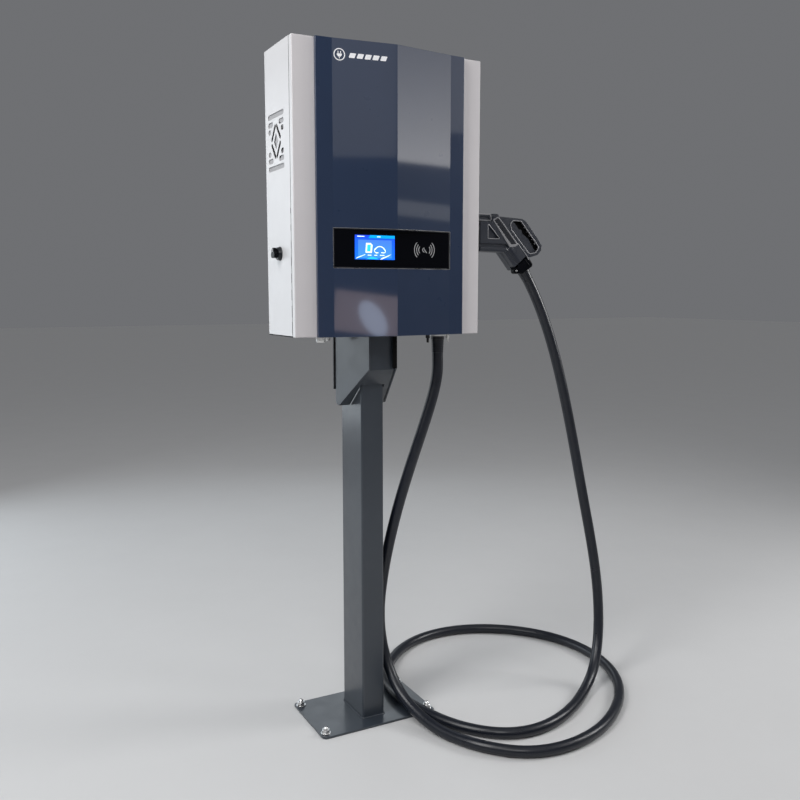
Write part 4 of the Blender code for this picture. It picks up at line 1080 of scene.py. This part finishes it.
def casing_half(name, side, node):
    """One half of the connector's casing with its block, guard and cable housing."""
    outline = FAR_CASING if side > 0 else CASING
    body = gun_layer([outline], side, 0.0002, 0.0208, 0.0007, 0.002)
    gap = gun_layer([GAP_LOOP], side, -0.004, 0.03, 0.0001, 0.0006)
    cavity = block((0.309, GUN_Y - 0.019, 1.3), (0.385, GUN_Y + 0.019, 1.368), 0.0002)
    channel = block((0.3, GUN_Y - 0.0188, 1.3725), (0.376, GUN_Y + 0.0188, 1.41), 0.0002)
    reach = 0.07 if side > 0 else 0.054
    housing = solid((0.0225, -0.002), (0.0248, 0.0), (0.0257, 0.003), (0.0257, reach - 0.0035),
                    (0.0247, reach - 0.001), (0.0225, reach))
    axis = Vector((0.673, 0.0, -0.739)).normalized()
    housing = turned(housing, (0.4085, GUN_Y, 1.3095), axis, 64)
    keep_low, keep_high = sorted((GUN_Y + side * 0.0003, GUN_Y + side * 0.0256))
    keep = block((0.36, keep_low, 1.24), (0.48, keep_high, 1.33), 0.0001)
    face = [(0.416, 1.306), (0.4345, 1.316), (0.4622, 1.287), (0.46, 1.284), (0.441, 1.269)]
    casing = gathered(
        carved(body, gap, cavity, channel),
        gun_layer([BLOCK, POCKET], side, 0.02, POCKET_DEPTH, 0.0014, 0.0025),
        gun_layer([LOWER_BLOCK], side, 0.0185, 0.0245, 0.003, 0.002),
        gun_layer([GUARD, RECESS], side, 0.02, 0.0252, 0.0014, 0.004),
        carved(housing, keep, operation="INTERSECT"),
        gun_layer([face], side, 0.0215, 0.0257, 0.001, 0.003),
    )
    # Light grey beads round the recess and the pocket: painted highlights along their edges.
    beads = [(recess_loop, LIP_DEPTH, 0.0014), (rounded(POCKET, 0.002, 4), POCKET_DEPTH, 0.0011)]
    edges = []
    for loop, depth, radius in beads:
        y = GUN_Y + side * (depth - 0.0004)
        edges.append(tube([(x, y, z) for x, z in loop], radius, 10, closed=True))
    piece(name + "_lip_highlight", gathered(*edges), HIGHLIGHT_GREY, "connector")
    floor = carved(gun_layer([recess_loop], side, 0.0204, 0.0211, 0.0001, 0.001), gap)
    piece(name + "_floor", floor, SHELL, "connector")
    piece(name, casing, SHELL, "connector", (node,))


def casing_trim(name, side, node):
    """Raised frame round the dark strip, and the ridge that runs on to the clamp, both in light
    grey that paints their highlights.
    """
    frame = gun_layer([FRAME_OUTER, FRAME_INNER], side, 0.025, 0.0272, 0.0009, 0.0012)
    y = GUN_Y + side * 0.0254
    ridge_highlight = tube([(0.433, y, 1.3185), (0.44, y, 1.3115), (0.4622, y, 1.2878), (0.472, y, 1.2745)],
                 0.0013, 12)
    piece(name, gathered(frame, ridge_highlight), HIGHLIGHT_GREY, "connector", (node,))
    strip = gun_layer([FRAME_INNER], side, 0.025, 0.0264, 0.0003, 0.0012)
    piece(name + "_strip", strip, TRIM_DARK, "connector")


casing_half("casing_near", -1, "connector_shell_near")
casing_half("casing_far", 1, "connector_shell_far")
casing_trim("trim_near", -1, "inlay_near")
casing_trim("trim_far", 1, "inlay_far")
# A deep black block filling the finger gap: painted shade for its shadowed inner walls.
gap_shade = gun_bar([rounded(GAP_LOOP, 0.0008, 2)], 0.017, 0.0004)
piece("finger_gap_shade", gap_shade, DEEP_BLACK, "connector")

# Light grey hooks on the rib tips in the finger gap: painted highlights.
rib_highlights = []
for number in range(5):
    x = 0.4985 - 0.0094 * number
    z = 1.317 + 0.0115 * number
    for side in (-1, 1):
        y = GUN_Y + side * 0.018
        hook = [(x, y, z), (x - 0.0012, y, z + 0.0024), (x - 0.004, y, z + 0.003)]
        rib_highlights.append(tube(hook, 0.0013, 8))
piece("finger_gap_rib_highlights", gathered(*rib_highlights), HIGHLIGHT_GREY, "connector")

start = Vector((0.5047, 1.3135))
along = Vector((0.4542, 1.3753)) - start
inward = Vector((-along.y, along.x)).normalized()
strip_loop = [start, start + along, start + along + inward * 0.0018, start + inward * 0.0018]
pillars = [gun_bar([strip_loop], 0.0215, 0.0005)]
pillar = solid((0.0014, 0.0), (0.0021, 0.0008), (0.0021, 0.0412), (0.0014, 0.042))
for number in range(5):
    x, z = start + along * (number + 0.5) / 5 + inward * 0.0019
    pillars.append(turned(pillar, (x, GUN_Y - 0.021, z), ALONG_Y, 20))
piece("guard_strip", gathered(*pillars), BLACK_PLASTIC, "connector", ("guard_ribs",))

LEVER = [
    (0.28, 1.379), (0.29, 1.379), (0.29, 1.3842), (0.299, 1.3842), (0.299, 1.3785),
    (0.344, 1.3785), (0.35, 1.374), (0.362, 1.374), (0.366, 1.386), (0.374, 1.393),
    (0.369, 1.398), (0.354, 1.398), (0.3505, 1.392), (0.3475, 1.3965), (0.299, 1.3965),
    (0.299, 1.39), (0.28, 1.39),
]
PIVOT = (0.356, 1.38)
lever = gun_bar([rounded(LEVER, 0.0012, 2), circle(*PIVOT, 0.0023, 20)], 0.018, 0.001, 2)
slots = []
for side in (-1, 1):
    low, high = sorted((GUN_Y + side * 0.015, GUN_Y + side * 0.02))
    slots.append(plate([rectangle(0.304, 1.3838, 0.34, 1.3902, 0.002)], "XZ", low, high, 0.0001))
piece("latch_handle", carved(lever, *slots), SHELL, "latch", ("latch_lever",))
# Light grey rings along the latch lever's sides: painted highlights on its glossy edges.
ring = rounded([(0.301, 1.379), (0.344, 1.379), (0.348, 1.3815), (0.344, 1.3955),
                (0.301, 1.3955)], 0.0015, 3)
ring_highlights = [
    tube([(x, GUN_Y + side * 0.0178, z) for x, z in ring], 0.0018, 10, closed=True)
    for side in (-1, 1)
]
piece("latch_rim_highlight", gathered(*ring_highlights), HIGHLIGHT_GREY, "latch")
pin_profile = solid((0.0014, 0.0), (0.0019, 0.0006), (0.0019, 0.0464), (0.0014, 0.047))
pin = turned(pin_profile, (PIVOT[0], GUN_Y - 0.0235, PIVOT[1]), ALONG_Y, 20)
piece("pivot_pin", pin, ZINC, "connector", ("latch_pin",))
dress(BLACK_PLASTIC, "connector_nose", edge=0.0012)
dress(COPPER, "contact_positive", "contact_negative", edge=0.0006)

CAP = [
    (0.4372, 1.2598), (0.4638, 1.28), (0.4757, 1.2787), (0.4872, 1.264), (0.4863, 1.2562),
    (0.454, 1.2348), (0.4343, 1.2353),
]
FAR_CAP = [(0.454, 1.268)] + CAP[1:5] + [(0.464, 1.2415)]
cap = gathered(
    plate([rounded(CAP, 0.0025, 3)], "XZ", GUN_Y - 0.0245, GUN_Y, 0.0035, 3),
    plate([rounded(FAR_CAP, 0.0025, 3)], "XZ", GUN_Y - 0.004, GUN_Y + 0.0245, 0.0035, 3),
)
BOSS = (0.43, GUN_Y - 0.0245, 1.243)
boss = solid((0.0066, 0.0), (0.0082, 0.0014), (0.0085, 0.003), (0.0085, 0.015))
boss = turned(boss, BOSS, ALONG_Y, 36)
band_loop = [(0.456, 1.2735), (0.4592, 1.2762), (0.4745, 1.259), (0.4714, 1.2566)]
bands = [gun_layer([band_loop], side, 0.0235, 0.0255, 0.0008, 0.0008) for side in (-1, 1)]
ears = [(0.465, 1.2825), (0.4735, 1.2815), (0.489, 1.264), (0.4865, 1.257), (0.48, 1.262)]
bands.append(gun_bar([rounded(ears, 0.002, 3)], 0.014, 0.0015, 2))
piece("cable_clamp", gathered(cap, boss, *bands), GLOSS_BLACK, "connector", ("clamp_cap",))
screw = turned([(0.0, 0.0), (0.0032, 0.0), (0.0032, 0.0012), (0.0026, 0.002), (0.0, 0.0022)],
               BOSS, (0, -1, 0), 28)
cross = []
for half, rise in ((0.0019, 0.0004), (0.0004, 0.0019)):
    bar = rectangle(BOSS[0] - half, BOSS[2] - rise, BOSS[0] + half, BOSS[2] + rise)
    cross.append(plate([bar], "XZ", GUN_Y - 0.028, GUN_Y - 0.0256, 0.0001))
piece("cross_screw", carved(screw, *cross), ZINC, "connector", ("clamp_screw",))

sleeve_profile = [(0.0151, 0.0004), (0.0174, 0.0004)]
for step in range(5):
    low = 0.003 + step * 0.0046
    radius = 0.0173 - 0.0019 * step / 4
    sleeve_profile += [(radius, low), (radius, low + 0.0026), (radius - 0.0006, low + 0.0031),
                       (radius - 0.0006, low + 0.0041)]
sleeve_profile += [(0.0155, 0.0262), (0.0153, 0.0278), (0.0151, 0.0279)]
boot = turned(sleeve_profile, CABLE_MOUTH, CABLE_AXIS, 48)
piece("connector_boot", boot, RUBBER, "connector", ("connector_sleeve",))
dress(BLACK_PLASTIC, "holster", edge=0.0012)


# ---- studio
floor = placed("floor", plate([rectangle(-30, -30, 30, 30)], "XY", -0.02, -0.0002, 0.001))
floor.data.materials.append(surface("studio_floor", (0.62, 0.62, 0.62), 0.7, drift=0.01))

world = bpy.data.worlds.new("studio")
world.use_nodes = True
sky = world.node_tree.nodes["Background"].inputs
sky["Color"].default_value = (0.93, 0.95, 1.0, 1.0)
sky["Strength"].default_value = 0.17
SCENE.world = world
SCENE.view_settings.view_transform = "Standard"


def softbox(
    name, place, target, width, height, power, colour=(1.0, 1.0, 1.0), roll=0.0, shape="RECTANGLE"
):
    """A flat studio light that faces a target."""
    light = bpy.data.lights.new(name, "AREA")
    light.shape = shape
    light.size = width
    light.size_y = height
    light.energy = power
    light.color = colour
    item = placed(name, light)
    item.location = place
    facing = (Vector(place) - Vector(target)).to_track_quat("Z", "Y")
    item.rotation_euler = (facing @ Quaternion((0, 0, 1), roll)).to_euler()
    return light


def fade_upwards(light, share):
    """Dim a light from its full power along its lower edge to a share of it along the upper one."""
    light.use_nodes = True
    tree = light.node_tree
    emitter = next(node for node in tree.nodes if node.type == "EMISSION")
    parts = add(tree, "SeparateXYZ")
    fall = add(tree, "Math")
    fall.operation = "POWER"
    fall.inputs[0].default_value = share
    tree.links.new(add(tree, "NewGeometry").outputs["Parametric"], parts.inputs[0])
    tree.links.new(parts.outputs["Y"], fall.inputs[1])
    tree.links.new(fall.outputs[0], emitter.inputs["Strength"])


softbox("key_left", (-2.8, -1.0, 2.75), (0.0, 0.0, 1.45), 1.3, 1.5, 53)
softbox("fill_front", (-1.5, -3.0, 3.1), (0.0, 0.0, 1.5), 1.4, 1.0, 30)
softbox("side_right", (3.0, -1.0, 2.0), (0.0, 0.0, 1.4), 1.0, 1.4, 40)
softbox("back_left", (-2.0, 2.35, 1.35), (0.0, 0.0, 1.1), 2.6, 2.0, 30, (0.86, 0.94, 1.0))
softbox("back_right", (1.15, 2.6, 1.6), (0.0, 0.0, 0.3), 1.2, 1.0, 4.5, (0.86, 0.94, 1.0))
TILT = radians(-7)
PALE = (1.0, 0.98, 0.97)
softbox("left_facet", (0.5, -3.3, 2.61), (-0.08, -0.2, 1.6), 0.45, 1.25, 1.35, PALE)
softbox(
    "low_spot", (0.53, -3.1, 1.03), (-0.08, -0.2, 1.12), 0.13, 0.24, 0.33, (0.55, 0.73, 1.0),
    radians(32), "ELLIPSE",
)
softbox(
    "low_warm", (0.5, -3.14, 1.06), (-0.08, -0.2, 1.12), 0.4, 0.24, 0.6, (1.0, 0.76, 0.72), TILT
)
softbox("right_band", (2.28, -2.39, 1.67), (0.08, -0.2, 1.4), 0.5, 0.09, 0.15, roll=TILT)
graded = softbox(
    "right_facet", (2.28, -2.39, 2.585), (0.08, -0.2, 1.6), 0.5, 1.28, 9.2, PALE, TILT
)
fade_upwards(graded, 0.165)
softbox("high_left", (-1.5, -0.5, 3.0), (-0.26, 0.0, 1.75), 0.9, 0.9, 18)
softbox("right_strip", (2.05, -2.67, 2.72), (0.18, -0.2, 1.6), 0.28, 1.16, 0.95, (1.0, 0.98, 0.98))
top = bpy.data.lights.new("sky_top", "SUN")
top.energy = 0.36
top.angle = 1.2
placed("sky_top", top).rotation_euler = (0.25, 0.1, 0.0)
